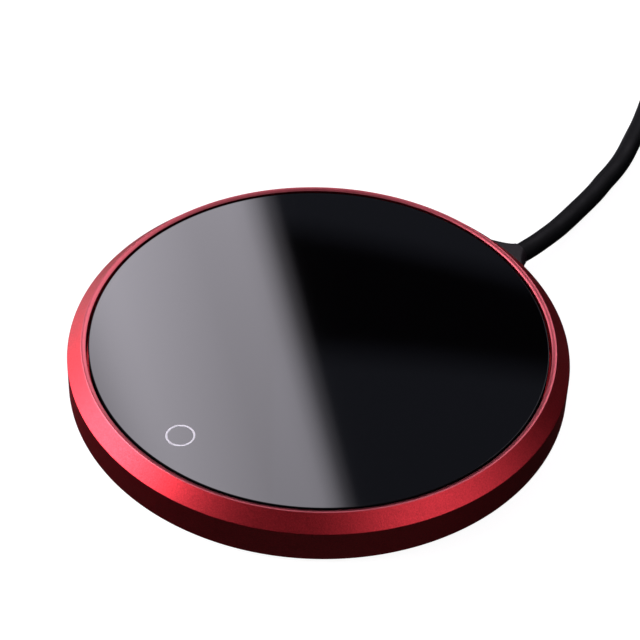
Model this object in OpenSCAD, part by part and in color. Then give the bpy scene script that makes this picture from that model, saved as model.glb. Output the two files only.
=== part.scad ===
// Slim electric mug warmer: a red anodised ring round a black glass hot plate that floats on
// three springs, with a touch key under the glass, a captive mains cord and a two-pin plug.
// Millimetres, +Z up. The table is z = 0, the ring's axis is x = y = 0, and the cord leaves
// the ring along +Y.

/* [Rim ring] */
// Outside diameter of the ring
ring_d = 120; // [116:0.5:150]
// Height of the ring's upright wall
wall_h = 8.3; // [8:0.1:12]
// Width and height of the 45 degree chamfer
chamfer_w = 3.45; // [2:0.05:4]
// Width of the narrow land from the crest to the glass opening
inner_w = 1.1; // [0.6:0.05:1.5]
// How far that land falls towards the glass
inner_h = 0.4; // [0.2:0.05:1.5]
// Thickness of the ring's skirt
ring_wall = 2; // [1.2:0.1:2.6]
// Thickness of the ledge below the glass
ledge_t = 1.8; // [1:0.1:2.2]
// Width of the ledge inward from the glass opening
ledge_w = 2.95; // [2:0.05:4]
// Bevel on the ring's bottom edge
edge_bevel = 0.3; // [0:0.1:0.6]
// Radius of a screw boss below the ledge
boss_r = 2.6; // [2.2:0.1:3]
// Distance of a screw boss's centre from the skirt
boss_inset = 3.4; // [3:0.1:4]
// Thickness of the rib between a screw boss and the skirt
boss_rib = 2.4; // [1:0.1:4]

/* [Glass] */
// Thickness of the glass plate
glass_t = 2.67; // [2.1:0.01:3]
// Open gap between the glass and the ring
glass_gap = 0.6; // [0.3:0.05:1]
// Drop of the glass's top below the crest
glass_drop = 0.51; // [0.3:0.01:1.05]
// Polished bevel of the glass's edge
glass_bevel = 0.2; // [0:0.05:0.6]
// Outside diameter of the key's printed circle
mark_d = 6.8; // [5:0.1:8]
// Line width of the circle
mark_line = 0.45; // [0.3:0.05:1]
// Depth of the circle's inlay in the glass
mark_depth = 0.1; // [0.05:0.05:0.3]
// Distance of the key's centre from the glass's edge
key_inset = 9.1; // [8:0.05:10]
// Direction of the key from the centre
key_angle = -82.25; // [-90:0.25:-78]

/* [Hot stack] */
// Gap between the pan that holds the heater and the control board's inner edge
pan_gap = 3; // [2:0.1:6]
// Sheet thickness of the pan
pan_t = 0.6; // [0.5:0.05:0.7]
// Width of the pan's flange, bonded below the glass
flange_w = 3; // [2:0.1:3.3]
// Radius of the sensor window in the pan
window_r = 9; // [8.5:0.1:12]
// Gap between the discs and the pan's wall
disc_gap = 0.2; // [0.1:0.05:0.5]
// Thickness of the aluminium heat spreader
spreader_t = 0.8; // [0.6:0.05:0.9]
// Thickness of one mica sheet
mica_t = 0.2; // [0.1:0.02:0.3]
// Thickness of the heating track
track_t = 0.3; // [0.2:0.05:0.4]
// Width of the heating track
track_w = 2.2; // [1.5:0.1:2.6]
// Distance between two turns of the heating track
track_pitch = 4; // [3.5:0.1:6]
// Radius of the innermost turn of the track
track_r = 8; // [6:0.5:12]
// Half angle of the track's open side
track_open = 9; // [8:1:20]
// Thickness of the insulation below the heater
insulation_t = 1.2; // [1:0.05:1.3]
// Thickness of the touch key's copper foil
foil_t = 0.1; // [0.05:0.01:0.2]
// Diameter of that foil
foil_d = 9; // [7:0.1:9.5]

/* [Floating plate] */
// Travel of the plate under a mug
press_travel = 0.5; // [0.3:0.05:0.6]
// Air below the glass at full travel
ledge_clear = 0.27; // [0.2:0.01:0.5]
// Distance of a guide stud's centre from the pan's edge
stud_inset = 7; // [6:0.1:9]
// Direction of the first guide stud
stud_angle = 90; // [85:1:95]
// Radius of a guide stud
stud_r = 1.5; // [1.2:0.05:1.7]
// Gap round a stud in its guide
stud_gap = 0.3; // [0.2:0.05:0.4]
// Wall of a guide tube
guide_wall = 0.9; // [0.6:0.05:1.1]
// Air above a guide tube at full travel
guide_clear = 0.4; // [0.3:0.05:0.8]
// Radius of a retaining screw's flat head
cap_r = 2.8; // [2.4:0.05:3.2]
// Thickness of that head
cap_t = 0.4; // [0.3:0.05:0.4]
// Gap round the head in its counterbore
cap_gap = 0.4; // [0.3:0.05:0.8]
// Plastic left above the counterbore
cap_floor = 0.7; // [0.5:0.05:0.7]
// Shaft radius of a retaining screw
cap_shaft_r = 0.75; // [0.5:0.05:0.8]
// Length of that shaft
cap_shaft = 3; // [2:0.1:3.4]
// Mean radius of a plate spring
spring_r = 3.5; // [3.35:0.05:3.8]
// Wire diameter of a plate spring
spring_wire = 0.5; // [0.3:0.05:0.5]
// Turns of a plate spring
spring_turns = 3.5; // [3:0.5:4.5]
// Mean radius of the touch key's spring
touch_r = 2.6; // [1.8:0.1:3]
// Wire diameter of the touch key's spring
touch_wire = 0.4; // [0.3:0.05:0.5]
// Turns of the touch key's spring
touch_turns = 5; // [3:0.5:7]

/* [Base and feet] */
// Height of the feet below the ring
foot_h = 1; // [0.6:0.1:3]
// Depth of a foot's seat in the base
foot_seat = 0.4; // [0.2:0.05:0.6]
// Radius of a foot
foot_r = 6; // [4:0.1:6.3]
// Gap round a foot in its seat
foot_gap = 0.15; // [0.05:0.05:0.4]
// Distance of a foot's centre from the base cover's edge
foot_inset = 13; // [12.5:0.1:14.5]
// Thickness of the base cover
base_t = 1.6; // [1.6:0.05:1.8]
// Gap between the base cover and the skirt
base_gap = 0.2; // [0.1:0.05:0.4]
// Distance of the bare label panel from the vent slots
label_gap = 4; // [2:0.5:6]
// Depth of the label panel
label_depth = 0.2; // [0.1:0.05:0.4]
// Count of vent slots
vent_n = 6; // [3:1:9]
// Width of a vent slot
vent_w = 1.6; // [1:0.1:2.4]
// Length of a vent slot
vent_l = 8; // [4:0.5:10]
// Plastic between a vent slot and a stud's counterbore
vent_gap = 1.8; // [1:0.1:4]

/* [Screws] */
// Head radius of a base screw
screw_head_r = 2.2; // [1.8:0.05:2.3]
// Shaft radius of a base screw
screw_r = 1.1; // [0.8:0.05:1.2]
// Length of a base screw
screw_l = 5; // [3.5:0.1:5]
// Depth of a screw's hole past its tip
screw_spare = 0.3; // [0.1:0.05:0.4]
// Shaft radius of a board or clamp screw
small_r = 0.8; // [0.6:0.05:0.9]
// Head radius of a board or clamp screw
small_head_r = 1.6; // [1.3:0.05:1.7]
// Head height of a board or clamp screw
small_head_h = 0.9; // [0.6:0.05:1]
// Length of a board screw's shaft
board_screw_l = 2.2; // [1.8:0.05:2.4]
// Length of a clamp screw's shaft
clamp_screw_l = 3.6; // [2.5:0.1:4]
// Gap round a screw's shaft in its hole
screw_gap = 0.1; // [0.05:0.05:0.2]
// Depth of a small screw's cross slot
cross_depth = 0.4; // [0.2:0.05:0.5]
// Width of a cross slot
cross_w = 0.5; // [0.3:0.05:0.6]
// Length of a cross slot as a share of its head's diameter
cross_share = 0.62; // [0.4:0.02:0.7]

/* [Control board] */
// Height of the board above the base's floor
standoff_h = 1; // [0.8:0.05:1.3]
// Radius of a board standoff
standoff_r = 1.9; // [1.5:0.05:2.2]
// Thickness of the board
board_t = 1.2; // [0.8:0.05:1.4]
// Width of the arc-shaped board
board_w = 11.4; // [11:0.1:11.8]
// Gap between the board's outer edge and the ring's ledge
board_gap = 1.1; // [0.9:0.1:1.5]
// First end of the board
board_from = -142; // [-146:1:-140]
// Last end of the board
board_to = -24; // [-25:1:-20]
// Distance of the parts' line from the board's outer edge
part_inset = 5.4; // [5:0.1:5.8]
// Distance of the outer board screws from that edge
screw_inset = 1.8; // [1.7:0.05:2]
// Air between the tallest part and the glass at full travel
part_clear = 0.37; // [0.3:0.01:1]
// Width of the gravity switch
switch_w = 6; // [5:0.1:6.5]
// Height of the gravity switch's housing
switch_h = 3; // [2.5:0.05:3.2]
// Direction of the gravity switch
switch_angle = -100; // [-101:0.5:-99]
// Radius of the switch's plunger
plunger_r = 1.2; // [0.8:0.05:1.4]
// Gap round the plunger in the housing
plunger_gap = 0.35; // [0.3:0.05:0.5]
// Depth of the plunger in the housing at rest
plunger_in = 1.4; // [1:0.05:1.6]

/* [Mains cord] */
// Diameter of the cord
cord_d = 5.2; // [4.8:0.1:5.2]
// Height of the cord's axis at the ring, above the ring's bottom
cord_h = 3.8; // [3.8:0.05:4.2]
// Length of the strain relief outside the ring
relief_out = 5.5; // [5:0.1:8]
// Length of the strain relief inside the skirt
relief_in = 10; // [8:0.1:11]
// Half width of the flare at the ring
flare_half = 7.4; // [5.4:0.1:8]
// Half height of the flare at the ring
flare_up = 3.8; // [3.6:0.05:3.8]
// Hollow of the flare's sides, where 1 is straight
flare_bend = 1.4; // [1:0.1:3]
// Wall of the strain relief's tip
tip_wall = 0.25; // [0.2:0.05:1]
// Wall of the strain relief inside the skirt
grip_wall = 0.4; // [0.3:0.05:0.6]
// Width of the strain relief's neck in the ring
neck_w = 9.6; // [8:0.1:10]
// Height of the neck above the cord's axis
neck_up = 3.3; // [3:0.05:3.5]
// Width of the flange inside the ring
collar_w = 13.4; // [12:0.1:14]
// Thickness of that flange
collar_t = 2; // [1.5:0.1:2.5]
// Room behind the skirt's curved inner face for the flange's ends
collar_room = 0.6; // [0.5:0.05:0.8]
// Reach of the neck into the flare
neck_reach = 0.6; // [0.4:0.05:1]
// Gap between the relief and what it seats in
relief_gap = 0.1; // [0.05:0.05:0.3]
// Length of the cord's tail inside the skirt
tail_in = 15.5; // [15:0.1:16]
// Distance of the cord clamp from the skirt
clamp_in = 12.8; // [12.4:0.1:13]
// Width of the clamp along the cord
clamp_w = 3.6; // [3:0.1:4]
// Distance of the clamp's screws from the cord's axis
clamp_x = 6.2; // [5.8:0.1:7]
// Thickness of the clamp
clamp_t = 0.9; // [0.7:0.05:1]
// Height of the clamp's bosses above the base's floor
clamp_boss_h = 3.8; // [3:0.1:4]
// Radius of a clamp boss
clamp_boss_r = 1.9; // [1.7:0.05:2]
// Diameter of one insulated core
core_d = 1.9; // [1.6:0.05:2]

/* [Coil and plug] */
// Mean radius of the coil's turns
coil_r = 29.6; // [28:0.1:32]
// Distance between two turns that lie side by side
coil_pitch = 5.4; // [5.2:0.05:5.6]
// Turns side by side
coil_wide = 3; // [2:1:4]
// Layers of turns
coil_high = 2; // [1:1:3]
// Width of the tie
tie_w = 8; // [5:0.5:12]
// Thickness of the tie
tie_t = 0.6; // [0.4:0.05:1]
// Slack of the tie round the turns
tie_slack = 0.5; // [0.3:0.05:1]
// Width of the plug's face
plug_w = 35.3; // [34:0.1:36]
// Thickness of the plug
plug_t = 13.7; // [13:0.1:14.4]
// Length of the plug's body
plug_l = 36; // [34:0.5:40]
// Length of the cord sleeve on the plug
sleeve_l = 9; // [6:0.5:12]
// Radius of a pin's bare tip
pin_r = 2; // [1.9:0.05:2.4]
// Length of a pin
pin_l = 19; // [18:0.5:20]
// Length of the insulated part of a pin
pin_sleeve = 10; // [9:0.5:11]
// Radius of that part
pin_sleeve_r = 1.7; // [1.6:0.05:1.8]
// Radius of the pin's core inside it
pin_core_r = 1.4; // [1.2:0.05:1.5]
// Depth of the core in the plug
pin_root = 6; // [4:0.5:8]
// Distance between the pins
pin_gap = 19; // [17:0.1:20]

/* [Hidden] */

$fn = 96;
fine_fn = 180;
small_fn = 32;
cut = 1;           // overrun of a cutting solid past the face that it cuts
touch = 0.02;      // air between a round seat and the round face in it
leg_in = 0.2;      // overlap of a part's leg with its body

// Heights and radii of the ring and the glass
ring_r = ring_d / 2;
ring_top = foot_h + wall_h + chamfer_w;
crest_r = ring_r - chamfer_w;
opening_r = crest_r - inner_w;
skirt_r = ring_r - ring_wall;
glass_r = opening_r - glass_gap;
glass_top = ring_top - glass_drop;
glass_z = glass_top - glass_t;
ledge_top = glass_z - press_travel - ledge_clear;
ledge_z = ledge_top - ledge_t;
ledge_r = opening_r - ledge_w;
key_r = glass_r - key_inset;

// Base cover and control board
base_top = foot_h + base_t;
base_r = skirt_r - base_gap;
boss_r0 = skirt_r - boss_inset;
foot_r0 = base_r - foot_inset;
head_h = base_t / 2;
screw_z = foot_h + head_h / 2;
corner_angles = [45, 135, 225, 315];
board_z = base_top + standoff_h;
board_top = board_z + board_t;
board_r2 = ledge_r - board_gap;
board_r1 = board_r2 - board_w;
part_r = board_r2 - part_inset;
outer_r = board_r2 - screw_inset;
part_room = glass_z - press_travel - board_top;
board_screw_at = [[part_r, -137], [outer_r, -91], [outer_r, -27]];

// Hot stack, from the glass down
spreader_z = glass_z - spreader_t;
upper_mica_z = spreader_z - mica_t;
track_z = upper_mica_z - track_t;
lower_mica_z = track_z - mica_t;
insulation_z = lower_mica_z - insulation_t;
pan_z = insulation_z - pan_t;
pan_r = board_r1 - pan_gap;
disc_r = pan_r - pan_t - disc_gap;
flange_r = pan_r + flange_w;
track_n = floor((disc_r - track_r - track_w) / track_pitch) + 1;
track_link = 2;

// Floating plate
stud_r0 = pan_r - stud_inset;
stud_angles = [for (i = [0:2]) stud_angle + 120 * i];
cap_z = base_top - cap_floor;
guide_r = stud_r + stud_gap + guide_wall;
guide_top = pan_z - press_travel - guide_clear;
vent_r2 = stud_r0 - cap_r - cap_gap - vent_gap;
vent_r1 = vent_r2 - vent_l;
label_r = vent_r1 - label_gap;

// Parts on the board: width across it, length along it, height
terminal_size = [6.6, 6, 3.6];
terminal_inset = 0.8;
terminal_well = 0.8;
terminal_r = part_r - terminal_inset;
terminal_angle = -35;
capacitor_size = [5, 10, part_room - part_clear];
capacitor_angle = -60;
bridge_size = [3.9, 4.6, 2.2];
bridge_angle = -71.5;
bridge_leg = [1.4, 0.8, 0.6];
chip_size = [4, 5, 1.4];
chip_angle = -111;
chip_leg = [1.3, 0.45, 0.5];
chip_pitch = 1.27;
triac_size = [6.2, 6.4, 2.3];
triac_angle = -121;
triac_tab = [2, 5.2, 0.5];
triac_leg = [2, 0.9, 0.8];
fuse_d = 2.6;
fuse_tube = 2.2;
fuse_l = 8;
fuse_cap = 2;
fuse_leg = 0.6;
fuse_angle = -47;
stand_off = 0.15;

// Sensors below the heater's window, and the strap that holds them
cutout_d = 3;
cutout_l = 10;
cutout_y = 2.6;
bead_d = 2.2;
bead_l = 3.6;
bead_y = -2.4;
clip_t = 0.3;
clip_w = 4;
clip_foot = 2.4;
clip_flat = 1.8;
clip_edge = 0.6;

// Wires inside
wire_gap = 0.05;
lead_bend = 2.2;
lead_d = 1.5;
lead_side = 1.2;
lead_angle = -131;
lead_rise = 7;
sense_d = 1;
sense_side = 0.8;
sense_angle = -58;
sense_rise = 6.8;
lead_floor = base_top + lead_d / 2 + wire_gap;
sense_floor = base_top + sense_d / 2 + wire_gap;
core_floor = base_top + core_d / 2 + wire_gap;
core_side = core_d * 0.66;
core_entry = 1.7;
core_z = board_top + core_entry;
core_bend = 3;
core_run = 14;
core_end = 0.2;
core_turn = [for (a = [66:-12:-6]) a];

// Cord and strain relief
cord_r = cord_d / 2;
cord_z = foot_h + cord_h;
relief_y = ring_r + relief_out;
collar_y = skirt_r - collar_t - collar_room;
tail_y = skirt_r - tail_in;
clamp_y = skirt_r - clamp_in;
clamp_seat = base_top + clamp_boss_h;
tip_half = cord_r + tip_wall;
grip_half = cord_r + grip_wall;
flare_root = 2;
floor_z = cord_r;
cord_straight = 1.2;
cord_sides = 10;

// Axis of the cord from the strain relief over the table to the coil
cord_route = [
    [0, relief_y, cord_z], [0, relief_y + cord_straight, cord_z], [-0.4, 71, 4.6], [-1.3, 75.6, 4.1],
    [-2.6, 81, 3.4],
    [-4.2, 86.5, 2.8], [-5.7, 91.8, floor_z], [-7, 96.7, floor_z], [-8.3, 101, floor_z],
    [-9.9, 105.4, floor_z], [-11.4, 110, floor_z], [-13.1, 114.4, floor_z],
    [-15.1, 118.6, floor_z], [-17.2, 122.4, floor_z], [-19.5, 126.6, floor_z],
    [-21.9, 130.9, floor_z], [-25.7, 137, floor_z], [-30.8, 144.8, floor_z],
    [-36, 152.6, floor_z], [-41.2, 160.4, floor_z], [-46.2, 167.7, floor_z]
];
coil_at = [-17, 187];
coil_ease = 0.1;
coil_top = cord_d + (coil_high - 1) * coil_pitch + coil_ease;
coil_half = (coil_wide - 1) / 2 * coil_pitch + cord_r + coil_ease;
tie_angle = -30;

// Axis of the cord from the coil's upper layer down to the table and up into the plug
plug_x = 41;
plug_y = 168;
plug_z = plug_t / 2;
plug_corner = 1.5;
plug_neck = 1.6;
sleeve_wall = 0.9;
sleeve_in = 2;
lead_route = [
    [-29, 219.9, 8], [-20.2, 222.2, 8], [-11.2, 223, 7.8], [-2.1, 222.2, 7.3],
    [4.9, 220.5, 6.4], [11.7, 217.7, 5], [18, 214.1, 3.7], [23.7, 209.6, 2.9],
    [28.8, 204.4, floor_z], [32.6, 199, floor_z], [35.6, 193.6, 2.8], [37.8, 188, 3.6],
    [39.6, 182, 4.9], [40.6, 177, 6.1], [plug_x, 173, 6.7], [plug_x, 170, plug_z],
    [plug_x, plug_y, plug_z]
];

// ---- Tube that follows a list of points ----

function unit(v) = v / norm(v);
function direction(p, i) = unit(p[min(i + 1, len(p) - 1)] - p[max(i - 1, 0)]);
// Side vector of a ring: level, or along X where the tube stands upright
function side_of(d) = abs(d.z) > 0.9 ? unit(cross([0, 1, 0], d)) : unit(cross([0, 0, 1], d));
function ring_points(c, d, r, n) =
    let (s = side_of(d), u = cross(d, s))
    [for (k = [0:n - 1]) c + r * (cos(360 * k / n) * s + sin(360 * k / n) * u)];

module tube(path, r, n) {
    rings = len(path);
    points = [for (i = [0:rings - 1]) each ring_points(path[i], direction(path, i), r, n)];
    sides = [
        for (i = [0:rings - 2], k = [0:n - 1])
            let (a = i * n + k, b = i * n + (k + 1) % n) each [[a, b, a + n], [b, b + n, a + n]]
    ];
    caps = [[for (k = [n - 1:-1:0]) k], [for (k = [0:n - 1]) (rings - 1) * n + k]];
    polyhedron(points, concat(sides, caps), convexity = 6);
}

// Upright helix of round wire between two heights, its ends closed flat
module spring(r, wire, turns, z1, z2, n = 6, steps = 12) {
    total = round(turns * steps);
    low = z1 + wire / 2 + touch;
    high = z2 - wire / 2 - touch;
    flat = 0.12;
    path = [
        for (i = [0:total])
            let (a = 360 * i / steps, s = i / total)
            let (t = min(1, max(0, (s - flat) / (1 - 2 * flat))))
            [r * cos(a), r * sin(a), low + (high - low) * t]
    ];
    tube(path, wire / 2, n);
}

// ---- Shared shapes ----

module ring_of(r1, r2, h) {
    difference() {
        cylinder(r = r2, h = h);
        translate([0, 0, -cut]) cylinder(r = r1, h = h + 2 * cut);
    }
}

module at_polar(r, angle, z) {
    rotate([0, 0, angle]) translate([r, 0, z]) children();
}

module block(w, d, h) {
    translate([-w / 2, -d / 2, 0]) cube([w, d, h]);
}

module along_y(y1, y2, r) {
    translate([0, y1, 0]) rotate([-90, 0, 0]) cylinder(r = r, h = y2 - y1);
}

module pan_screw(length) {
    difference() {
        union() {
            cylinder(r = small_head_r, h = small_head_h, $fn = small_fn);
            translate([0, 0, -length]) cylinder(r = small_r, h = length + touch, $fn = small_fn);
        }
        for (a = [0, 90]) rotate([0, 0, a])
            translate([0, 0, small_head_h - cross_depth])
                block(2 * small_head_r * cross_share, cross_w, cross_depth + cut);
    }
}

// ---- Casing ----

module ring_section() {
    polygon([
        [skirt_r, foot_h], [ring_r - edge_bevel, foot_h], [ring_r, foot_h + edge_bevel],
        [ring_r, foot_h + wall_h], [crest_r, ring_top], [opening_r, ring_top - inner_h],
        [opening_r, ledge_top], [ledge_r, ledge_top], [ledge_r, ledge_z], [skirt_r, ledge_z]
    ]);
}

// Boss for a base screw, hanging below the ledge and tied to the skirt by a rib
module ring_boss() {
    rib_l = skirt_r - boss_r0 + ring_wall / 2;
    cylinder(r = boss_r, h = ledge_z - base_top + touch, $fn = small_fn);
    translate([0, -boss_rib / 2, 0]) cube([rib_l, boss_rib, ledge_z - base_top + touch]);
}

module rim_ring() {
    neck_room = neck_w + 2 * relief_gap;
    neck_top = cord_z + neck_up + relief_gap;
    collar_side = 4 * relief_gap;
    color("#a81f31") difference() {
        union() {
            rotate_extrude($fn = fine_fn) ring_section();
            for (a = corner_angles) at_polar(boss_r0, a, base_top) ring_boss();
        }
        for (a = corner_angles) at_polar(boss_r0, a, screw_z)
            cylinder(r = screw_r + touch, h = screw_l + screw_spare, $fn = small_fn);
        translate([-neck_room / 2, ledge_r - cut, foot_h - cut])
            cube([neck_room, ring_r, neck_top - foot_h + cut]);
        intersection() {
            translate([-collar_w / 2 - collar_side, ledge_r - 2 * cut, ledge_z - cut])
                cube([collar_w + 2 * collar_side, ring_r, ledge_t + 2 * cut]);
            cylinder(r = skirt_r, h = ring_top);
        }
    }
}

module guide_tube() {
    cylinder(r = guide_r, h = guide_top - base_top + touch, $fn = small_fn);
}

module base_cover() {
    groove_r = cord_r + relief_gap;
    color("#17171a") difference() {
        union() {
            translate([0, 0, foot_h]) cylinder(r = base_r, h = base_t, $fn = fine_fn);
            for (a = stud_angles) at_polar(stud_r0, a, base_top - touch) guide_tube();
            for (p = board_screw_at) at_polar(p[0], p[1], base_top - touch)
                cylinder(r = standoff_r, h = standoff_h + touch, $fn = small_fn);
            for (x = [-clamp_x, clamp_x]) translate([x, clamp_y, base_top - touch])
                cylinder(r = clamp_boss_r, h = clamp_boss_h + touch, $fn = small_fn);
        }
        for (a = stud_angles) {
            at_polar(stud_r0, a, foot_h - cut)
                cylinder(r = stud_r + stud_gap, h = guide_top, $fn = small_fn);
            at_polar(stud_r0, a, foot_h - cut)
                cylinder(r = cap_r + cap_gap, h = cap_z - foot_h + cut, $fn = small_fn);
        }
        for (a = corner_angles) {
            at_polar(foot_r0, a, foot_h - cut)
                cylinder(r = foot_r + foot_gap, h = foot_seat + cut, $fn = 48);
            at_polar(boss_r0, a, foot_h - cut)
                cylinder(r = screw_r + screw_gap, h = base_t + 2 * cut, $fn = small_fn);
            at_polar(boss_r0, a, foot_h - cut)
                cylinder(r = screw_head_r + screw_gap, h = head_h + cut, $fn = small_fn);
        }
        for (p = board_screw_at) at_polar(p[0], p[1], board_top - board_screw_l - screw_spare)
            cylinder(r = small_r + touch, h = board_screw_l + cut, $fn = small_fn);
        for (x = [-clamp_x, clamp_x])
            translate([x, clamp_y, clamp_seat + clamp_t - clamp_screw_l - screw_spare])
                cylinder(r = small_r + touch, h = clamp_screw_l + cut, $fn = small_fn);
        for (i = [0:vent_n - 1]) rotate([0, 0, 30 + 360 * i / vent_n])
            translate([vent_r1, -vent_w / 2, foot_h - cut])
                cube([vent_r2 - vent_r1, vent_w, base_t + 2 * cut]);
        translate([0, 0, foot_h - cut]) cylinder(r = label_r, h = label_depth + cut);
        translate([0, 0, cord_z]) along_y(tail_y - cut, base_r + cut, groove_r);
        translate([-neck_w / 2 - relief_gap, skirt_r - ring_wall / 2, foot_h - cut])
            cube([neck_w + 2 * relief_gap, ring_wall, base_t + 2 * cut]);
    }
}

module feet() {
    color("#232326") for (a = corner_angles) at_polar(foot_r0, a, 0)
        cylinder(r = foot_r, h = foot_h + foot_seat, $fn = 48);
}

module base_screws() {
    color("#3a3a3d") for (a = corner_angles) at_polar(boss_r0, a, foot_h) difference() {
        union() {
            translate([0, 0, touch]) cylinder(r = screw_head_r, h = head_h - touch, $fn = small_fn);
            translate([0, 0, screw_z - foot_h]) cylinder(r = screw_r, h = screw_l, $fn = small_fn);
        }
        for (b = [0, 90]) rotate([0, 0, b])
            translate([0, 0, -cut])
                block(2 * screw_head_r * cross_share, cross_w, cross_depth + cut);
    }
}

// ---- Control board, an arc in the rim's cavity ----

// Slice of a flat ring between two directions
module arc_plate(r1, r2, from, to, h) {
    reach = r2 * 2;
    middle = (from + to) / 2;
    half = (to - from) / 2;
    linear_extrude(h) difference() {
        circle(r = r2, $fn = fine_fn);
        circle(r = r1, $fn = fine_fn);
        rotate(middle) polygon([
            [0, 0], [reach * cos(half), reach * sin(half)], [-reach, reach],
            [-reach, -reach], [reach * cos(half), -reach * sin(half)]
        ]);
    }
}

module control_board() {
    color("#1f6b3a") difference() {
        translate([0, 0, board_z]) arc_plate(board_r1, board_r2, board_from, board_to, board_t);
        for (p = board_screw_at) at_polar(p[0], p[1], board_z - cut)
            cylinder(r = small_r + screw_gap, h = board_t + 2 * cut, $fn = small_fn);
    }
}

module board_screws() {
    color("#b8b8b4") for (p = board_screw_at) at_polar(p[0], p[1], board_top)
        pan_screw(board_screw_l);
}

// Two-way block with a wire entry and a screw well for each core
module terminal_block() {
    color("#2f7f63") at_polar(terminal_r, terminal_angle, board_top) difference() {
        block(terminal_size.x, terminal_size.y, terminal_size.z);
        for (x = [-core_side, core_side]) {
            translate([x, -terminal_well, core_z - board_top]) rotate([-90, 0, 0])
                cylinder(r = core_d / 2 + touch, h = terminal_size.y, $fn = small_fn);
            translate([x, 0, core_z - board_top])
                cylinder(r = terminal_well, h = terminal_size.z, $fn = small_fn);
        }
    }
}

// Axial fuse: a glass tube between two caps, on two legs
module board_fuse() {
    axis_z = fuse_d / 2 + stand_off;
    color("#c9c3ae") at_polar(part_r, fuse_angle, board_top) {
        translate([0, -fuse_l / 2, axis_z]) rotate([-90, 0, 0]) {
            cylinder(d = fuse_tube, h = fuse_l, $fn = small_fn);
            for (z = [0, fuse_l - fuse_cap]) translate([0, 0, z])
                cylinder(d = fuse_d, h = fuse_cap, $fn = small_fn);
        }
        for (y = [-fuse_l / 2, fuse_l / 2]) translate([0, y, 0])
            block(fuse_leg, fuse_leg, axis_z);
    }
}

module dropper_capacitor() {
    color("#c8892a") at_polar(part_r, capacitor_angle, board_top)
        block(capacitor_size.x, capacitor_size.y, capacitor_size.z);
}

module bridge_rectifier() {
    leg_x = (bridge_size.x + bridge_leg.x) / 2 - leg_in;
    color("#18181a") at_polar(part_r, bridge_angle, board_top) {
        translate([0, 0, stand_off]) block(bridge_size.x, bridge_size.y, bridge_size.z);
        for (x = [-leg_x, leg_x], y = [-chip_pitch, chip_pitch]) translate([x, y, 0])
            block(bridge_leg.x, bridge_leg.y, bridge_leg.z);
    }
}

// Flat eight-pin package with its legs
module controller_chip() {
    leg_x = (chip_size.x + chip_leg.x) / 2 - leg_in;
    color("#141416") at_polar(part_r, chip_angle, board_top) {
        translate([0, 0, stand_off]) block(chip_size.x, chip_size.y, chip_size.z);
        for (x = [-leg_x, leg_x], i = [-1.5:1.5]) translate([x, chip_pitch * i, 0])
            block(chip_leg.x, chip_leg.y, chip_leg.z);
    }
}

module heater_triac() {
    tab_x = (triac_size.x + triac_tab.x) / 2 - leg_in;
    leg_x = (triac_size.x + triac_leg.x) / 2 - leg_in;
    color("#1b1b1d") at_polar(part_r, triac_angle, board_top) {
        block(triac_size.x, triac_size.y, triac_size.z);
        translate([tab_x, 0, 0]) block(triac_tab.x, triac_tab.y, triac_tab.z);
        for (y = [-triac_size.y / 3, triac_size.y / 3]) translate([-leg_x, y, 0])
            block(triac_leg.x, triac_leg.y, triac_leg.z);
    }
}

// ---- Gravity switch and the parts that move with the plate ----

module gravity_switch() {
    well_r = plunger_r + plunger_gap;
    well_d = plunger_in + press_travel + plunger_gap;
    color("#2a2a2e") at_polar(part_r, switch_angle, board_top) difference() {
        block(switch_w, switch_w, switch_h);
        translate([0, 0, switch_h - well_d]) cylinder(r = well_r, h = well_d + cut, $fn = small_fn);
    }
}

module switch_plunger() {
    low = board_top + switch_h - plunger_in;
    color("#d9d4c8") at_polar(part_r, switch_angle, low)
        cylinder(r = plunger_r, h = glass_z - low, $fn = small_fn);
}

module touch_spring() {
    color("#c9a35a") at_polar(key_r, key_angle, 0)
        spring(touch_r, touch_wire, touch_turns, board_top, glass_z - foil_t);
}

module plate_springs() {
    color("#b9bcc0") for (a = stud_angles) at_polar(stud_r0, a, 0)
        spring(spring_r, spring_wire, spring_turns, base_top, pan_z);
}

module glass_plate() {
    color("#050506") difference() {
        rotate_extrude($fn = fine_fn) polygon([
            [0, glass_z], [glass_r - glass_bevel, glass_z], [glass_r, glass_z + glass_bevel],
            [glass_r, glass_top - glass_bevel], [glass_r - glass_bevel, glass_top],
            [0, glass_top]
        ]);
        at_polar(key_r, key_angle, glass_top - mark_depth)
            ring_of(mark_d / 2 - mark_line, mark_d / 2, mark_depth + cut);
    }
}

module touch_key_mark() {
    color("#dcd7de") at_polar(key_r, key_angle, glass_top - mark_depth)
        ring_of(mark_d / 2 - mark_line, mark_d / 2, mark_depth);
}

module touch_foil() {
    color("#c07a45") at_polar(key_r, key_angle, glass_z - foil_t)
        cylinder(d = foil_d, h = foil_t, $fn = small_fn);
}

module heat_spreader() {
    color("#c9ccd0") translate([0, 0, spreader_z]) cylinder(r = disc_r, h = spreader_t);
}

module upper_mica() {
    color("#b8a878") translate([0, 0, upper_mica_z]) cylinder(r = disc_r, h = mica_t);
}

module lower_mica() {
    color("#b0a070") translate([0, 0, lower_mica_z]) cylinder(r = disc_r, h = mica_t);
}

// Flat track that runs out and back in open circles, joined at alternate ends
module heating_track() {
    color("#8d8f93") translate([0, 0, track_z]) linear_extrude(track_t) {
        for (i = [0:track_n - 1]) {
            mid = track_r + track_pitch * i;
            open = i == 0 ? track_open * 2 : track_open;
            difference() {
                circle(r = mid + track_w / 2);
                circle(r = mid - track_w / 2);
                rotate(180) polygon([
                    [0, 0], [2 * mid, 2 * mid * tan(open)], [2 * mid, -2 * mid * tan(open)]
                ]);
            }
        }
        for (i = [0:track_n - 2]) {
            mid = track_r + track_pitch * i;
            turn = (i % 2 == 0 ? 1 : -1) * (track_open * 2 + track_link);
            rotate(180 + turn) translate([mid, -track_w / 2]) square([track_pitch, track_w]);
        }
    }
}

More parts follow.
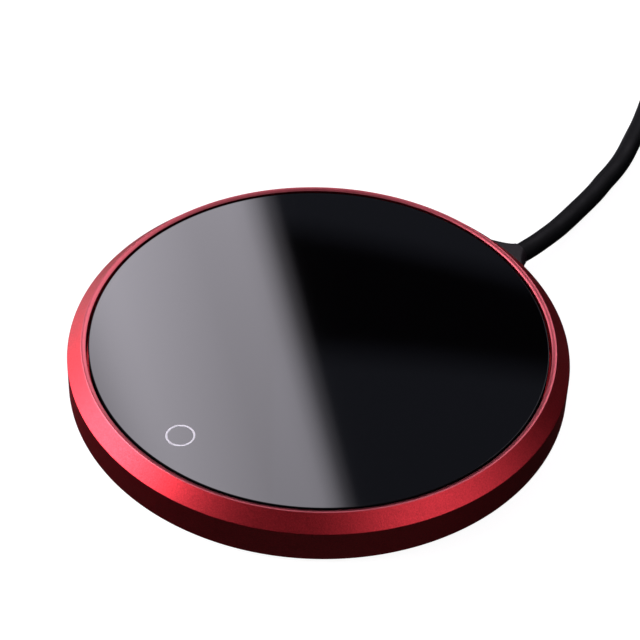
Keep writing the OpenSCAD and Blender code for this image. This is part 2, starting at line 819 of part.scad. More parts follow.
module insulation_pad() {
    color("#e3ddcf") translate([0, 0, insulation_z]) ring_of(window_r, disc_r, insulation_t);
}

module heater_pan() {
    color("#a9adb1") rotate_extrude() polygon([
        [window_r, pan_z], [pan_r, pan_z], [pan_r, glass_z - pan_t], [flange_r, glass_z - pan_t],
        [flange_r, glass_z], [pan_r - pan_t, glass_z], [pan_r - pan_t, pan_z + pan_t],
        [window_r, pan_z + pan_t]
    ]);
}

module guide_studs() {
    color("#8f9296") for (a = stud_angles) at_polar(stud_r0, a, cap_z) difference() {
        cylinder(r = stud_r, h = pan_z - cap_z, $fn = small_fn);
        translate([0, 0, -cut])
            cylinder(r = cap_shaft_r + touch, h = cap_shaft + screw_spare + cut, $fn = small_fn);
    }
}

// Retaining screws: thin flat heads that hold the plate up against its springs
module stud_screws() {
    color("#9b9ea2") for (a = stud_angles) at_polar(stud_r0, a, cap_z - cap_t) difference() {
        union() {
            cylinder(r = cap_r, h = cap_t, $fn = small_fn);
            cylinder(r = cap_shaft_r, h = cap_t + cap_shaft, $fn = small_fn);
        }
        translate([0, 0, -cut]) block(2 * cap_r * cross_share, cross_w, cap_t / 2 + cut);
    }
}

// ---- Sensors below the heater's window ----

module thermal_fuse() {
    color("#c8c9cb") translate([-cutout_l / 2, cutout_y, lower_mica_z - cutout_d / 2])
        rotate([0, 90, 0]) cylinder(d = cutout_d, h = cutout_l, $fn = small_fn);
}

module thermistor() {
    color("#a8562a") translate([-bead_l / 2, bead_y, lower_mica_z - bead_d / 2])
        rotate([0, 90, 0]) cylinder(d = bead_d, h = bead_l, $fn = small_fn);
}

// Spring steel strap across the window that holds both sensors up against the mica
module sensor_clip() {
    cutout_low = lower_mica_z - cutout_d;
    bead_low = lower_mica_z - bead_d;
    edge = window_r + clip_edge;
    upper = [
        [-edge - clip_foot, pan_z], [-edge, pan_z], [bead_y - clip_flat, bead_low],
        [bead_y + clip_flat, bead_low], [cutout_y - clip_flat, cutout_low],
        [cutout_y + clip_flat, cutout_low], [edge, pan_z], [edge + clip_foot, pan_z]
    ];
    last = len(upper) - 1;
    lower = [for (i = [last:-1:0]) upper[i] - [0, clip_t]];
    color("#bfc3c7") translate([-clip_w / 2, 0, 0]) rotate([90, 0, 90])
        linear_extrude(clip_w) polygon(concat(upper, lower));
}

// ---- Wiring ----

// Lead from the board's inner edge, along the base's floor and up to the heater's window
function lead_path(side, d, low, rise) =
    let (b = lead_bend, on_board = board_top + d / 2 + touch)
    [
        [board_r1 + b, side, on_board], [board_r1, side, on_board],
        [board_r1 - b, side, board_top], [board_r1 - 2 * b, side, (board_top + low) / 2],
        [board_r1 - 3 * b, side, low], [rise + 1.4 * b, side, low],
        [rise + 0.5 * b, side, low + 0.3 * b], [rise, side, low + 0.9 * b],
        [rise, side, lower_mica_z - touch]
    ];

module heater_leads() {
    color("#c9c4b6") rotate([0, 0, lead_angle]) for (side = [-lead_side, lead_side])
        tube(lead_path(side, lead_d, lead_floor, lead_rise), lead_d / 2, 8);
}

module sensor_leads() {
    color("#b43a2c") rotate([0, 0, sense_angle]) for (side = [-sense_side, sense_side])
        tube(lead_path(side, sense_d, sense_floor, sense_rise), sense_d / 2, 6);
}

// Point in the terminal block's own frame
function at_terminal(x, y, z) =
    let (r = terminal_r + x, c = cos(terminal_angle), s = sin(terminal_angle))
    [r * c - y * s, r * s + y * c, z];

// Cores from the cord's tail, round the rim's cavity and up into the terminal block
function core_path(side) =
    let (r = terminal_r + side, b = core_bend, drop = cord_z - core_floor)
    concat(
        [
            [side, tail_y - touch, cord_z], [side, tail_y - b / 3, cord_z],
            [side + b / 6, tail_y - 0.8 * b, cord_z - drop / 6],
            [side + 0.9 * b, tail_y - b + side, cord_z - 0.6 * drop]
        ],
        [for (a = core_turn) [r * cos(a), r * sin(a), core_floor]],
        [
            at_terminal(side, core_run, core_z - core_entry / 2),
            at_terminal(side, core_run * 0.65, core_z - core_entry / 8),
            at_terminal(side, core_run * 0.4, core_z), at_terminal(side, core_end, core_z)
        ]
    );

module mains_cores() {
    color("#7a4a2a") tube(core_path(core_side), core_d / 2, 8);
    color("#2f5f9a") tube(core_path(-core_side), core_d / 2, 8);
}

// ---- Cord entry ----

// Half width of the flare at a share of its length, wide at the ring and slim at the tip
function flare(wide, slim, t) = slim + (wide - slim) * pow(1 - t, flare_bend);

module flare_outline(wide) {
    steps = 8;
    right = [for (i = [0:steps]) [flare(wide, tip_half, i / steps), relief_out * i / steps]];
    left = [for (i = [steps:-1:0]) [-right[i][0], right[i][1]]];
    polygon(concat([[-wide, -flare_root], [wide, -flare_root]], right, left));
}

module strain_relief() {
    neck_bottom = foot_h + edge_bevel;
    neck_h = cord_z + neck_up - neck_bottom;
    collar_h = neck_up + cord_z - base_top - relief_gap;
    color("#1a181b") difference() {
        union() {
            difference() {
                intersection() {
                    translate([0, ring_r, 0]) linear_extrude(ring_top)
                        flare_outline(flare_half);
                    translate([ring_r, ring_r, cord_z]) rotate([0, -90, 0])
                        linear_extrude(2 * ring_r) flare_outline(flare_up);
                }
                translate([0, 0, -cut]) cylinder(r = ring_r + touch, h = ring_top, $fn = fine_fn);
            }
            difference() {
                translate([-neck_w / 2, collar_y + collar_t - touch, neck_bottom])
                    cube([neck_w, ring_r + neck_reach - collar_y - collar_t, neck_h]);
                cylinder(r = skirt_r - base_gap + relief_gap, h = base_top);
            }
            translate([-collar_w / 2, collar_y, base_top])
                cube([collar_w, collar_t, collar_h]);
            translate([0, 0, cord_z])
                along_y(skirt_r - relief_in, collar_y + touch, grip_half);
        }
        translate([0, 0, cord_z]) along_y(skirt_r - relief_in - cut, relief_y + cut, cord_r + touch);
        translate([-grip_half - cut, skirt_r - relief_in - cut, 0])
            cube([2 * (grip_half + cut), collar_y + 2 * touch - skirt_r + relief_in + cut, base_top]);
    }
}

module cord_tail() {
    color("#101012") translate([0, 0, cord_z]) along_y(tail_y, relief_y, cord_r);
}

module cord_clamp() {
    color("#d6d2c6") difference() {
        union() {
            translate([0, clamp_y, clamp_seat])
                block(2 * clamp_x + 2 * clamp_boss_r, clamp_w, clamp_t);
            intersection() {
                translate([0, 0, cord_z])
                    along_y(clamp_y - clamp_w / 2, clamp_y + clamp_w / 2, cord_r + clamp_t);
                translate([0, clamp_y, clamp_seat]) block(2 * cord_d, clamp_w, cord_d);
            }
        }
        translate([0, 0, cord_z]) along_y(clamp_y - clamp_w, clamp_y + clamp_w, cord_r + touch);
        for (x = [-clamp_x, clamp_x]) translate([x, clamp_y, clamp_seat - cut])
            cylinder(r = small_r + screw_gap, h = clamp_t + 2 * cut, $fn = small_fn);
    }
}

module clamp_screws() {
    color("#b8b8b4") for (x = [-clamp_x, clamp_x])
        translate([x, clamp_y, clamp_seat + clamp_t]) pan_screw(clamp_screw_l);
}

// ---- Cord, coil and plug ----

module power_cord() {
    color("#101012") tube(cord_route, cord_r, cord_sides);
}

module plug_lead() {
    color("#101012") tube(lead_route, cord_r, cord_sides);
}

module at_tie() {
    translate(coil_at) rotate([0, 0, tie_angle]) translate([coil_r, 0, 0]) rotate([90, 0, 0])
        translate([0, 0, -tie_w / 2]) children();
}

// Outer shape of all the turns, with a shallow bed below them for the tie
module cord_coil() {
    corner = cord_r * 0.6;
    color("#141416") difference() {
        translate(coil_at) rotate_extrude() polygon([
            [coil_r - coil_half + corner, 0], [coil_r + coil_half - corner, 0],
            [coil_r + coil_half, corner], [coil_r + coil_half, coil_top - corner],
            [coil_r + coil_half - corner, coil_top], [coil_r - coil_half + corner, coil_top],
            [coil_r - coil_half, coil_top - corner], [coil_r - coil_half, corner]
        ]);
        at_tie() translate([0, 0, -touch]) linear_extrude(tie_w + 2 * touch)
            translate([-coil_half - cut, -cut])
                square([2 * (coil_half + cut), tie_t + touch + cut]);
    }
}

module tie_outline(grow) {
    corner = cord_r * 0.4;
    x = coil_half + grow;
    low = tie_t + touch - grow;
    high = coil_top + grow;
    polygon([
        [-x + corner, low], [x - corner, low], [x, low + corner], [x, high - corner],
        [x - corner, high], [-x + corner, high], [-x, high - corner], [-x, low + corner]
    ]);
}

// Flat strap once round the turns
module cord_tie() {
    color("#1d1d20") at_tie() linear_extrude(tie_w) difference() {
        translate([0, -touch]) tie_outline(tie_t + tie_slack);
        translate([0, tie_slack]) tie_outline(tie_slack);
        translate([-2 * coil_half, -cut]) square([4 * coil_half, cut]);
    }
}

// Plug lying flat, its cord end at y = 0 and its pins along +Y of its own frame
module at_plug() {
    translate([plug_x, plug_y, plug_z]) rotate([0, 0, 180]) children();
}

module plug_body() {
    cord_half = cord_r + plug_neck;
    shoulder = sleeve_l - sleeve_in;
    color("#121214") at_plug() difference() {
        union() {
            intersection() {
                translate([0, 0, -plug_t / 2]) linear_extrude(plug_t) polygon([
                    [-cord_half, shoulder], [cord_half, shoulder],
                    [plug_w * 0.34, plug_l * 0.45], [plug_w / 2, plug_l * 0.72],
                    [plug_w / 2, plug_l - plug_corner], [plug_w / 2 - plug_corner, plug_l],
                    [plug_corner - plug_w / 2, plug_l], [-plug_w / 2, plug_l - plug_corner],
                    [-plug_w / 2, plug_l * 0.72], [-plug_w * 0.34, plug_l * 0.45]
                ]);
                translate([plug_w, 0, 0]) rotate([0, -90, 0]) linear_extrude(2 * plug_w)
                    polygon([
                        [-cord_half, shoulder], [cord_half, shoulder],
                        [plug_t / 2, plug_l * 0.42], [plug_t / 2, plug_l], [-plug_t / 2, plug_l],
                        [-plug_t / 2, plug_l * 0.42]
                    ]);
            }
            rotate([-90, 0, 0]) cylinder(r1 = cord_r + sleeve_wall, r2 = cord_half, h = sleeve_l);
            for (x = [-pin_gap / 2, pin_gap / 2]) translate([x, 0, 0])
                along_y(plug_l - touch, plug_l + pin_sleeve, pin_sleeve_r, $fn = small_fn);
        }
        for (x = [-pin_gap / 2, pin_gap / 2]) translate([x, 0, 0])
            along_y(plug_l - pin_root - touch, plug_l + pin_l, pin_core_r + touch, $fn = small_fn);
    }
}

// Bare tips on slimmer cores that run back through the sleeves into the body
module plug_pins() {
    tip = plug_l + pin_l - pin_r;
    color("#c9cbce") at_plug() for (x = [-pin_gap / 2, pin_gap / 2]) translate([x, 0, 0]) {
        along_y(plug_l - pin_root, plug_l + pin_sleeve + touch, pin_core_r, $fn = small_fn);
        along_y(plug_l + pin_sleeve, tip, pin_r, $fn = small_fn);
        translate([0, tip, 0]) sphere(r = pin_r, $fn = small_fn);
    }
}

rim_ring();
base_cover();
feet();
base_screws();
control_board();
board_screws();
terminal_block();
board_fuse();
dropper_capacitor();
bridge_rectifier();
controller_chip();
heater_triac();
gravity_switch();
switch_plunger();
touch_spring();
plate_springs();
strain_relief();
cord_tail();
cord_clamp();
clamp_screws();
mains_cores();
heater_leads();
sensor_leads();
glass_plate();
touch_key_mark();
touch_foil();
heat_spreader();
upper_mica();
heating_track();
lower_mica();
insulation_pad();
heater_pan();
guide_studs();
stud_screws();
thermal_fuse();
thermistor();
sensor_clip();
power_cord();
cord_coil();
cord_tie();
plug_lead();
plug_body();
plug_pins();
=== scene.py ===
import math

import bmesh
import bpy
from mathutils import Matrix, Vector


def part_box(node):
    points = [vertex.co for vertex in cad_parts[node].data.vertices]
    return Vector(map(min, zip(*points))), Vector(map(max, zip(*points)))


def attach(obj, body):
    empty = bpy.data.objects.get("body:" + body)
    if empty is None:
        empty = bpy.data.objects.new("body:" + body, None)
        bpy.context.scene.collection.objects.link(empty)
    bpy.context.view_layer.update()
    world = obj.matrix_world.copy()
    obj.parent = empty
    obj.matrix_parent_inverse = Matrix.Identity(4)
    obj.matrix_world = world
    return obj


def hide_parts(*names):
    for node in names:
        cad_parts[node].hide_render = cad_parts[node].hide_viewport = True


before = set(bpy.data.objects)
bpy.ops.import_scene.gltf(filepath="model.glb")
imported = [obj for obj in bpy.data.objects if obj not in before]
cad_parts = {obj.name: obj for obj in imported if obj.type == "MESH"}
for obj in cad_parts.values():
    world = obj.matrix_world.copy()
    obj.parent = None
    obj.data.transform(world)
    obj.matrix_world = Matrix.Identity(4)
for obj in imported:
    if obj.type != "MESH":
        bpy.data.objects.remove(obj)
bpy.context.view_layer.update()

# Electric mug warmer. Lengths in this script are in mm until a mesh or a curve is made.
MM = 0.001
MESH_ANGLE = math.radians(32)      # edges sharper than this are drawn sharp


def node_box(name):
    """A node's lowest and highest corner, in mm."""
    low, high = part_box(name)
    return low / MM, high / MM


# ---- Sizes that the frame gives ----
GLASS_LOW, GLASS_HIGH = node_box("glass_plate")
RELIEF_LOW, RELIEF_HIGH = node_box("strain_relief")
PLUG_LOW, PLUG_HIGH = node_box("plug_body")
MARK_LOW, MARK_HIGH = node_box("touch_key_mark")
RING_R = node_box("rim_ring")[1].x
FEET_REACH = node_box("feet")[1].x     # the outer side of the feet
CORD_R = 2.6
EXIT_Z = 4.8                       # height of the cord's centre where it leaves the ring
EXIT = Vector((0.0, RELIEF_HIGH.y, EXIT_Z))


# ---- Camera, as the photograph was taken ----
CAMERA_AT = Vector((294.03, -246.72, 369.80))
CAMERA_AIM = Vector((-14.39, 12.11, 1.0))
CAMERA_ROLL = math.radians(1.97)
CAMERA_LENS = 123.78               # on a 36 mm sensor
CAMERA_SIDE = math.radians(50)     # the camera's side of the object, round Z


def add_camera():
    data = bpy.data.cameras.new("camera")
    data.sensor_width = 36
    data.lens = CAMERA_LENS
    data.clip_start = 0.05
    data.clip_end = 20
    camera = bpy.data.objects.new("camera", data)
    bpy.context.scene.collection.objects.link(camera)
    forward = (CAMERA_AIM - CAMERA_AT).normalized()
    right = forward.cross(Vector((0, 0, 1))).normalized()
    up = right.cross(forward)
    across = math.cos(CAMERA_ROLL) * right + math.sin(CAMERA_ROLL) * up
    upward = math.cos(CAMERA_ROLL) * up - math.sin(CAMERA_ROLL) * right
    turn = Matrix((across, upward, -forward)).transposed().to_4x4()
    camera.matrix_world = Matrix.Translation(CAMERA_AT * MM) @ turn
    bpy.context.scene.camera = camera


add_camera()


# ---- Mesh helpers ----
def link(name, data):
    piece = bpy.data.objects.new(name, data)
    bpy.context.scene.collection.objects.link(piece)
    return piece


def smooth(mesh, angle=MESH_ANGLE):
    mesh.polygons.foreach_set("use_smooth", [True] * len(mesh.polygons))
    mesh.set_sharp_from_angle(angle=angle)


def mesh_piece(name, points, faces, zones=None, angle=MESH_ANGLE):
    """A mesh object from points in mm. Zones gives each face's material number."""
    mesh = bpy.data.meshes.new(name)
    mesh.from_pydata([Vector(p) * MM for p in points], [], faces)
    if zones:
        mesh.polygons.foreach_set("material_index", zones)
    work = bmesh.new()
    work.from_mesh(mesh)
    bmesh.ops.recalc_face_normals(work, faces=work.faces)
    work.to_mesh(mesh)
    work.free()
    smooth(mesh, angle)
    return link(name, mesh)


def joined(parts):
    """One list of points and one of faces from several such pairs."""
    points, faces = [], []
    for some_points, some_faces in parts:
        start = len(points)
        points += some_points
        faces += [[start + i for i in face] for face in some_faces]
    return points, faces


def rounded(corners, radii, steps=4, hold=0.08):
    """A closed outline whose corners are arcs, with points that hold the flats flat."""
    outline = []
    count = len(corners)
    for i, corner in enumerate(corners):
        here = Vector(corner)
        back = Vector(corners[i - 1]) - here
        ahead = Vector(corners[(i + 1) % count]) - here
        radius = radii[i]
        if radius <= 0:
            outline.append(tuple(here))
            continue
        half = back.angle(ahead) / 2
        reach = radius / math.tan(half)
        centre = here + (back.normalized() + ahead.normalized()).normalized() * radius / math.sin(half)
        first = here + back.normalized() * reach
        last = here + ahead.normalized() * reach
        if back.length > 4 * reach + 4 * hold:
            outline.append(tuple(first + back.normalized() * hold))
        start = first - centre
        end = last - centre
        turn = start.angle_signed(end)
        for k in range(steps + 1):
            arm = start.copy()
            arm.rotate(Matrix.Rotation(-turn * k / steps, 2))
            outline.append(tuple(centre + arm))
        if ahead.length > 4 * reach + 4 * hold:
            outline.append(tuple(last + ahead.normalized() * hold))
    return outline


def lathe(outline, steps, at=(0, 0), closed=True):
    """Points and faces of an outline of (radius, height) turned round Z."""
    points, faces = [], []
    count = len(outline)
    for i in range(steps):
        angle = math.tau * i / steps
        for radius, height in outline:
            points.append((at[0] + radius * math.cos(angle), at[1] + radius * math.sin(angle), height))
    for i in range(steps):
        j = (i + 1) % steps
        for k in range(count if closed else count - 1):
            n = (k + 1) % count
            faces.append([i * count + k, j * count + k, j * count + n, i * count + n])
    if not closed:
        faces.append([i * count for i in range(steps)])
        faces.append([i * count + count - 1 for i in range(steps)])
    return points, faces


def loft(rings, closed=False):
    """Points and faces that join rings of equal counts of points."""
    points = [p for ring in rings for p in ring]
    count = len(rings[0])
    faces = []
    for i in range(len(rings) if closed else len(rings) - 1):
        j = (i + 1) % len(rings)
        for k in range(count):
            n = (k + 1) % count
            faces.append([i * count + k, i * count + n, j * count + n, j * count + k])
    if not closed:
        faces.append(list(range(count)))
        faces.append([(len(rings) - 1) * count + k for k in range(count)])
    return points, faces


def oval(half_w, half_h, square, count=48):
    """Points of a superellipse: square is 2 for an ellipse and more for a rounded box."""
    out = []
    for k in range(count):
        c = math.cos(math.tau * (k + 0.5) / count)
        s = math.sin(math.tau * (k + 0.5) / count)
        out.append((
            half_w * math.copysign(abs(c) ** (2 / square), c),
            half_h * math.copysign(abs(s) ** (2 / square), s),
        ))
    return out


def spline(points, step):
    """A smooth path through the points, with a point every step or so."""
    path = []
    known = [Vector(p) for p in points]
    known = [2 * known[0] - known[1]] + known + [2 * known[-1] - known[-2]]
    for i in range(1, len(known) - 2):
        a, b, c, d = known[i - 1:i + 3]
        pieces = max(1, round((c - b).length / step))
        for k in range(pieces):
            t = k / pieces
            path.append(0.5 * (
                2 * b + (c - a) * t + (2 * a - 5 * b + 4 * c - d) * t * t
                + (3 * b - a - 3 * c + d) * t ** 3
            ))
    path.append(known[-2])
    return path


def ease(t):
    t = min(1.0, max(0.0, t))
    return (1 - math.cos(math.pi * t)) / 2


# ---- Cord: route, coil and lead, in one line ----
FLOOR_Z = CORD_R
ROUTE = [
    tuple(EXIT), (0, EXIT.y + 1.2, EXIT.z), (-0.4, 71, 4.6), (-1.3, 75.6, 4.1), (-2.6, 81, 3.4),
    (-4.2, 86.5, 2.8), (-5.7, 91.8, 2.6), (-7, 96.7, 2.6), (-8.3, 101, 2.6), (-9.9, 105.4, 2.6),
    (-11.4, 110, 2.6), (-13.1, 114.4, 2.6), (-15.1, 118.6, 2.6), (-17.2, 122.4, 2.6),
    (-19.5, 126.6, 2.6), (-21.9, 130.9, 2.6), (-25.7, 137, 2.6), (-30.8, 144.8, 2.6),
    (-36, 152.6, 2.6), (-41.2, 160.4, 2.6),
]
LEAD = [
    (-20.2, 222.2, 8), (-11.2, 223, 7.8), (-2.1, 222.2, 7.3), (4.9, 220.5, 6.4), (11.7, 217.7, 5),
    (18, 214.1, 3.7), (23.7, 209.6, 2.9), (28.8, 204.4, 2.6), (32.6, 199, 2.6), (35.6, 193.6, 2.8),
    (37.8, 188, 3.6), (39.6, 182, 4.9), (40.6, 177, 6.1), (41, 173, 6.7), (41, 170, 6.85),
    (41, 167.5, 6.85),
]
COIL_AT = Vector((-17, 187))
COIL_PITCH = 5.4                   # from one turn to the next, across and up
COIL_LANE = 35.0                   # the outer turns' radius
COIL_START = 213.4                 # where the cord comes in, in degrees
COIL_SWEEP = 1903.4                # how far it turns in all
COIL_CLIMB = (960, 84)             # where it rises to the upper turns, and over how far
COIL_SHIFT = 100                   # over how far a turn moves to the next lane
TIE_ANGLE = -30.0
TIE_T = 0.6


def tie_lift(angle):
    """The turns rise over the strap that passes below them."""
    off = (angle - TIE_ANGLE + 180) % 360 - 180
    if abs(off) > 26:
        return 0.0
    return (TIE_T + 0.02) * math.cos(math.pi / 2 * off / 26) ** 2


def coil_point(turned):
    """The cord's centre after it has turned that many degrees in the coil."""
    radius = COIL_LANE + 0.4 * (1 - ease(turned / 60))
    outward = COIL_CLIMB[0] + 360 - COIL_SHIFT
    for start, way in ((360, -1), (720, -1), (outward + COIL_SHIFT, 1), (outward + 360 + COIL_SHIFT, 1)):
        radius += way * COIL_PITCH * ease((turned - start + COIL_SHIFT) / COIL_SHIFT)
    rise = (turned - COIL_CLIMB[0]) / COIL_CLIMB[1]
    inside = min(1.0, max(0.0, (turned - COIL_CLIMB[0] + 20) / (COIL_CLIMB[1] + 40)))
    radius -= 0.8 * math.sin(math.pi * inside) ** 2
    angle = COIL_START - turned
    height = FLOOR_Z + COIL_PITCH * ease(rise) + tie_lift(angle)
    a = math.radians(angle)
    return (COIL_AT.x + radius * math.cos(a), COIL_AT.y + radius * math.sin(a), height)


def make_cord():
    turns = [coil_point(COIL_SWEEP * k / 508) for k in range(1, 508)]
    path = spline(ROUTE, 1.6) + turns + spline(LEAD, 1.6)
    length = sum((b - a).length for a, b in zip(map(Vector, path), map(Vector, path[1:])))
    curve = bpy.data.curves.new("cord", "CURVE")
    curve.dimensions = "3D"
    curve.bevel_depth = CORD_R * MM
    curve.bevel_resolution = 6
    curve.use_fill_caps = True
    line = curve.splines.new("POLY")
    line.points.add(len(path) - 1)
    for point, place in zip(line.points, path):
        point.co = (*(Vector(place) * MM), 1)
    line.use_smooth = True
    return link("cord", curve), length * MM


cord, cord_length = make_cord()


# ---- Materials ----
class Look:
    """One procedural material: a shader with its numbers set directly, and textures on top."""

    def __init__(self, name, colour, rough, metallic=0.0, **sockets):
        self.material = bpy.data.materials.new(name)
        self.material.use_nodes = True
        self.tree = self.material.node_tree
        self.shader = next(n for n in self.tree.nodes if n.type == "BSDF_PRINCIPLED")
        self.set("Base Color", (*colour, 1))
        self.set("Roughness", rough)
        self.set("Metallic", metallic)
        for key, value in sockets.items():
            self.set(key.replace("_", " "), value)
        self.place = self.node("ShaderNodeTexCoord").outputs["Object"]
        self.normal = None

    def set(self, socket, value):
        self.shader.inputs[socket].default_value = value

    def node(self, kind, **settings):
        made = self.tree.nodes.new(kind)
        for key, value in settings.items():
            setattr(made, key, value)
        return made

    def join(self, out, into):
        self.tree.links.new(out, into)

    def noise(self, scale, detail=3.0, rough=0.55, stretch=None):
        """Noise whose features are about 1 / scale metres wide."""
        made = self.node("ShaderNodeTexNoise")
        made.inputs["Scale"].default_value = scale
        made.inputs["Detail"].default_value = detail
        made.inputs["Roughness"].default_value = rough
        place = self.place
        if stretch:
            mapping = self.node("ShaderNodeMapping")
            mapping.inputs["Scale"].default_value = stretch
            self.join(place, mapping.inputs["Vector"])
            place = mapping.outputs["Vector"]
        self.join(place, made.inputs["Vector"])
        return made.outputs["Fac"]

    def cells(self, scale, feature="F1"):
        made = self.node("ShaderNodeTexVoronoi", feature=feature)
        made.inputs["Scale"].default_value = scale
        self.join(self.place, made.inputs["Vector"])
        return made.outputs["Distance"]

    def ramp(self, value, *stops):
        """Colours by value: each stop is a place and a colour."""
        made = self.node("ShaderNodeValToRGB")
        stop = made.color_ramp.elements
        while len(stop) < len(stops):
            stop.new(0.5)
        for element, (place, colour) in zip(stop, stops):
            element.position = place
            element.color = (*colour, 1)
        self.join(value, made.inputs["Fac"])
        return made.outputs["Color"]

    def spread(self, value, low, high, start=0.3, end=0.7):
        made = self.node("ShaderNodeMapRange")
        for key, number in (("From Min", start), ("From Max", end), ("To Min", low), ("To Max", high)):
            made.inputs[key].default_value = number
        self.join(value, made.inputs["Value"])
        return made.outputs["Result"]

    def tint(self, value, *stops):
        self.join(self.ramp(value, *stops), self.shader.inputs["Base Color"])
        return self

    def gloss(self, value, low, high):
        self.join(self.spread(value, low, high), self.shader.inputs["Roughness"])
        return self

    def bump(self, height, depth, strength=1.0):
        """Relief of that depth in metres, over any relief that is already there."""
        made = self.node("ShaderNodeBump")
        made.inputs["Distance"].default_value = depth
        made.inputs["Strength"].default_value = strength
        self.join(height, made.inputs["Height"])
        if self.normal:
            self.join(self.normal, made.inputs["Normal"])
        self.normal = made.outputs["Normal"]
        self.join(self.normal, self.shader.inputs["Normal"])
        return self


def shades(colour, change):
    """Three stops from a darker to a lighter shade of a colour."""
    dark = tuple(c * (1 - change) for c in colour)
    light = tuple(min(1.0, c * (1 + change)) for c in colour)
    return (0.3, dark), (0.5, colour), (0.7, light)


def plain_look(name, colour, rough, grain, depth, metallic=0.0, change=0.12, **sockets):
    """A moulded, coated or rolled finish: uneven tone and gloss, and fine relief."""
    look = Look(name, colour, rough, metallic, **sockets)
    look.tint(look.noise(grain * 0.08, 4), *shades(colour, change))
    look.gloss(look.noise(grain * 0.15, 3), rough * 0.86, min(1.0, rough * 1.14))
    look.bump(look.noise(grain, 3), depth)
    return look.material


def anodised_look():
    """Bead-blasted aluminium, dyed red: a fine even grain under a hard clear oxide."""
    deep = (0.50, 0.025, 0.034)
    look = Look("anodised_ring", deep, 0.36, 1.0, Coat_Weight=0.12, Coat_Roughness=0.35, Coat_IOR=1.5)
    look.tint(look.noise(2600, 3, 0.7), *shades(deep, 0.2))
    look.gloss(look.noise(900, 3), 0.33, 0.39)
    look.bump(look.noise(5200, 2, 0.6), 0.000021)
    look.bump(look.noise(2300, 2, 0.5), 0.000026)
    return look.material


def lip_look():
    """The same metal where the lip and the crest are cut after blasting: brighter and smoother."""
    clear = (0.50, 0.092, 0.112)
    look = Look("ring_lip", clear, 0.31, 1.0, Coat_Weight=0.12, Coat_Roughness=0.25, Coat_IOR=1.5)
    look.tint(look.noise(1400, 2), *shades(clear, 0.06))
    look.gloss(look.noise(700, 2), 0.28, 0.34)
    look.bump(look.noise(6000, 2), 0.000003)
    return look.material


def glass_look():
    """Black glass: flat and polished, with a gloss that hardly varies."""
    depth = (0.0003, 0.0002, 0.0004)
    look = Look("black_glass", depth, 0.03, IOR=1.53)
    look.tint(look.noise(60, 2), *shades(depth, 0.2))
    look.gloss(look.noise(1800, 2), 0.028, 0.034)
    return look.material


def ground_look():
    """The glass's ground edge: matt and black."""
    black = (0.0015, 0.0013, 0.0018)
    look = Look("ground_edge", black, 0.7, Specular_IOR_Level=0.04)
    look.tint(look.noise(900, 2), *shades(black, 0.3))
    look.bump(look.noise(4500, 2), 0.000006)
    return look.material


def board_look():
    """Green solder mask over copper tracks, with the weave of the board showing faintly."""
    mask = (0.010, 0.085, 0.030)
    look = Look("board_green", mask, 0.32, Coat_Weight=0.4, Coat_Roughness=0.15)
    tracks = look.cells(420, "DISTANCE_TO_EDGE")
    look.tint(tracks, (0.0, (0.020, 0.150, 0.050)), (0.05, (0.018, 0.130, 0.045)), (0.07, mask))
    look.bump(tracks, 0.00002)
    look.bump(look.noise(4000, 2), 0.00001)
    return look.material


def mica_look():
    """Pressed mica sheet: pale gold flakes in layers."""
    look = Look("mica", (0.55, 0.44, 0.27), 0.42, Coat_Weight=0.3, Coat_Roughness=0.2)
    flakes = (0.1, (0.62, 0.51, 0.33)), (0.5, (0.50, 0.39, 0.23)), (0.9, (0.40, 0.30, 0.17))
    look.tint(look.cells(380), *flakes)
    look.bump(look.cells(520), 0.00004)
    return look.material


def fibre_look(name, colour, scale, depth):
    """Felted or woven fibre."""
    look = Look(name, colour, 0.9, Sheen_Weight=0.3, Sheen_Roughness=0.5)
    look.tint(look.noise(scale, 5, 0.7), *shades(colour, 0.25))
    look.bump(look.noise(scale, 5, 0.75, stretch=(1.0, 0.35, 1.0)), depth)
    look.bump(look.cells(scale * 0.8), depth * 0.5)
    return look.material


def brushed_look(name, colour, rough, scale=2500, depth=0.000006):
    """Rolled or drawn metal with fine lines along it."""
    look = Look(name, colour, rough, 1.0)
    look.tint(look.noise(scale * 0.1, 3), *shades(colour, 0.08))
    look.gloss(look.noise(scale * 0.4, 3, stretch=(1.0, 0.08, 1.0)), rough * 0.8, rough * 1.25)
    look.bump(look.noise(scale, 2, stretch=(1.0, 0.06, 1.0)), depth)
    return look.material


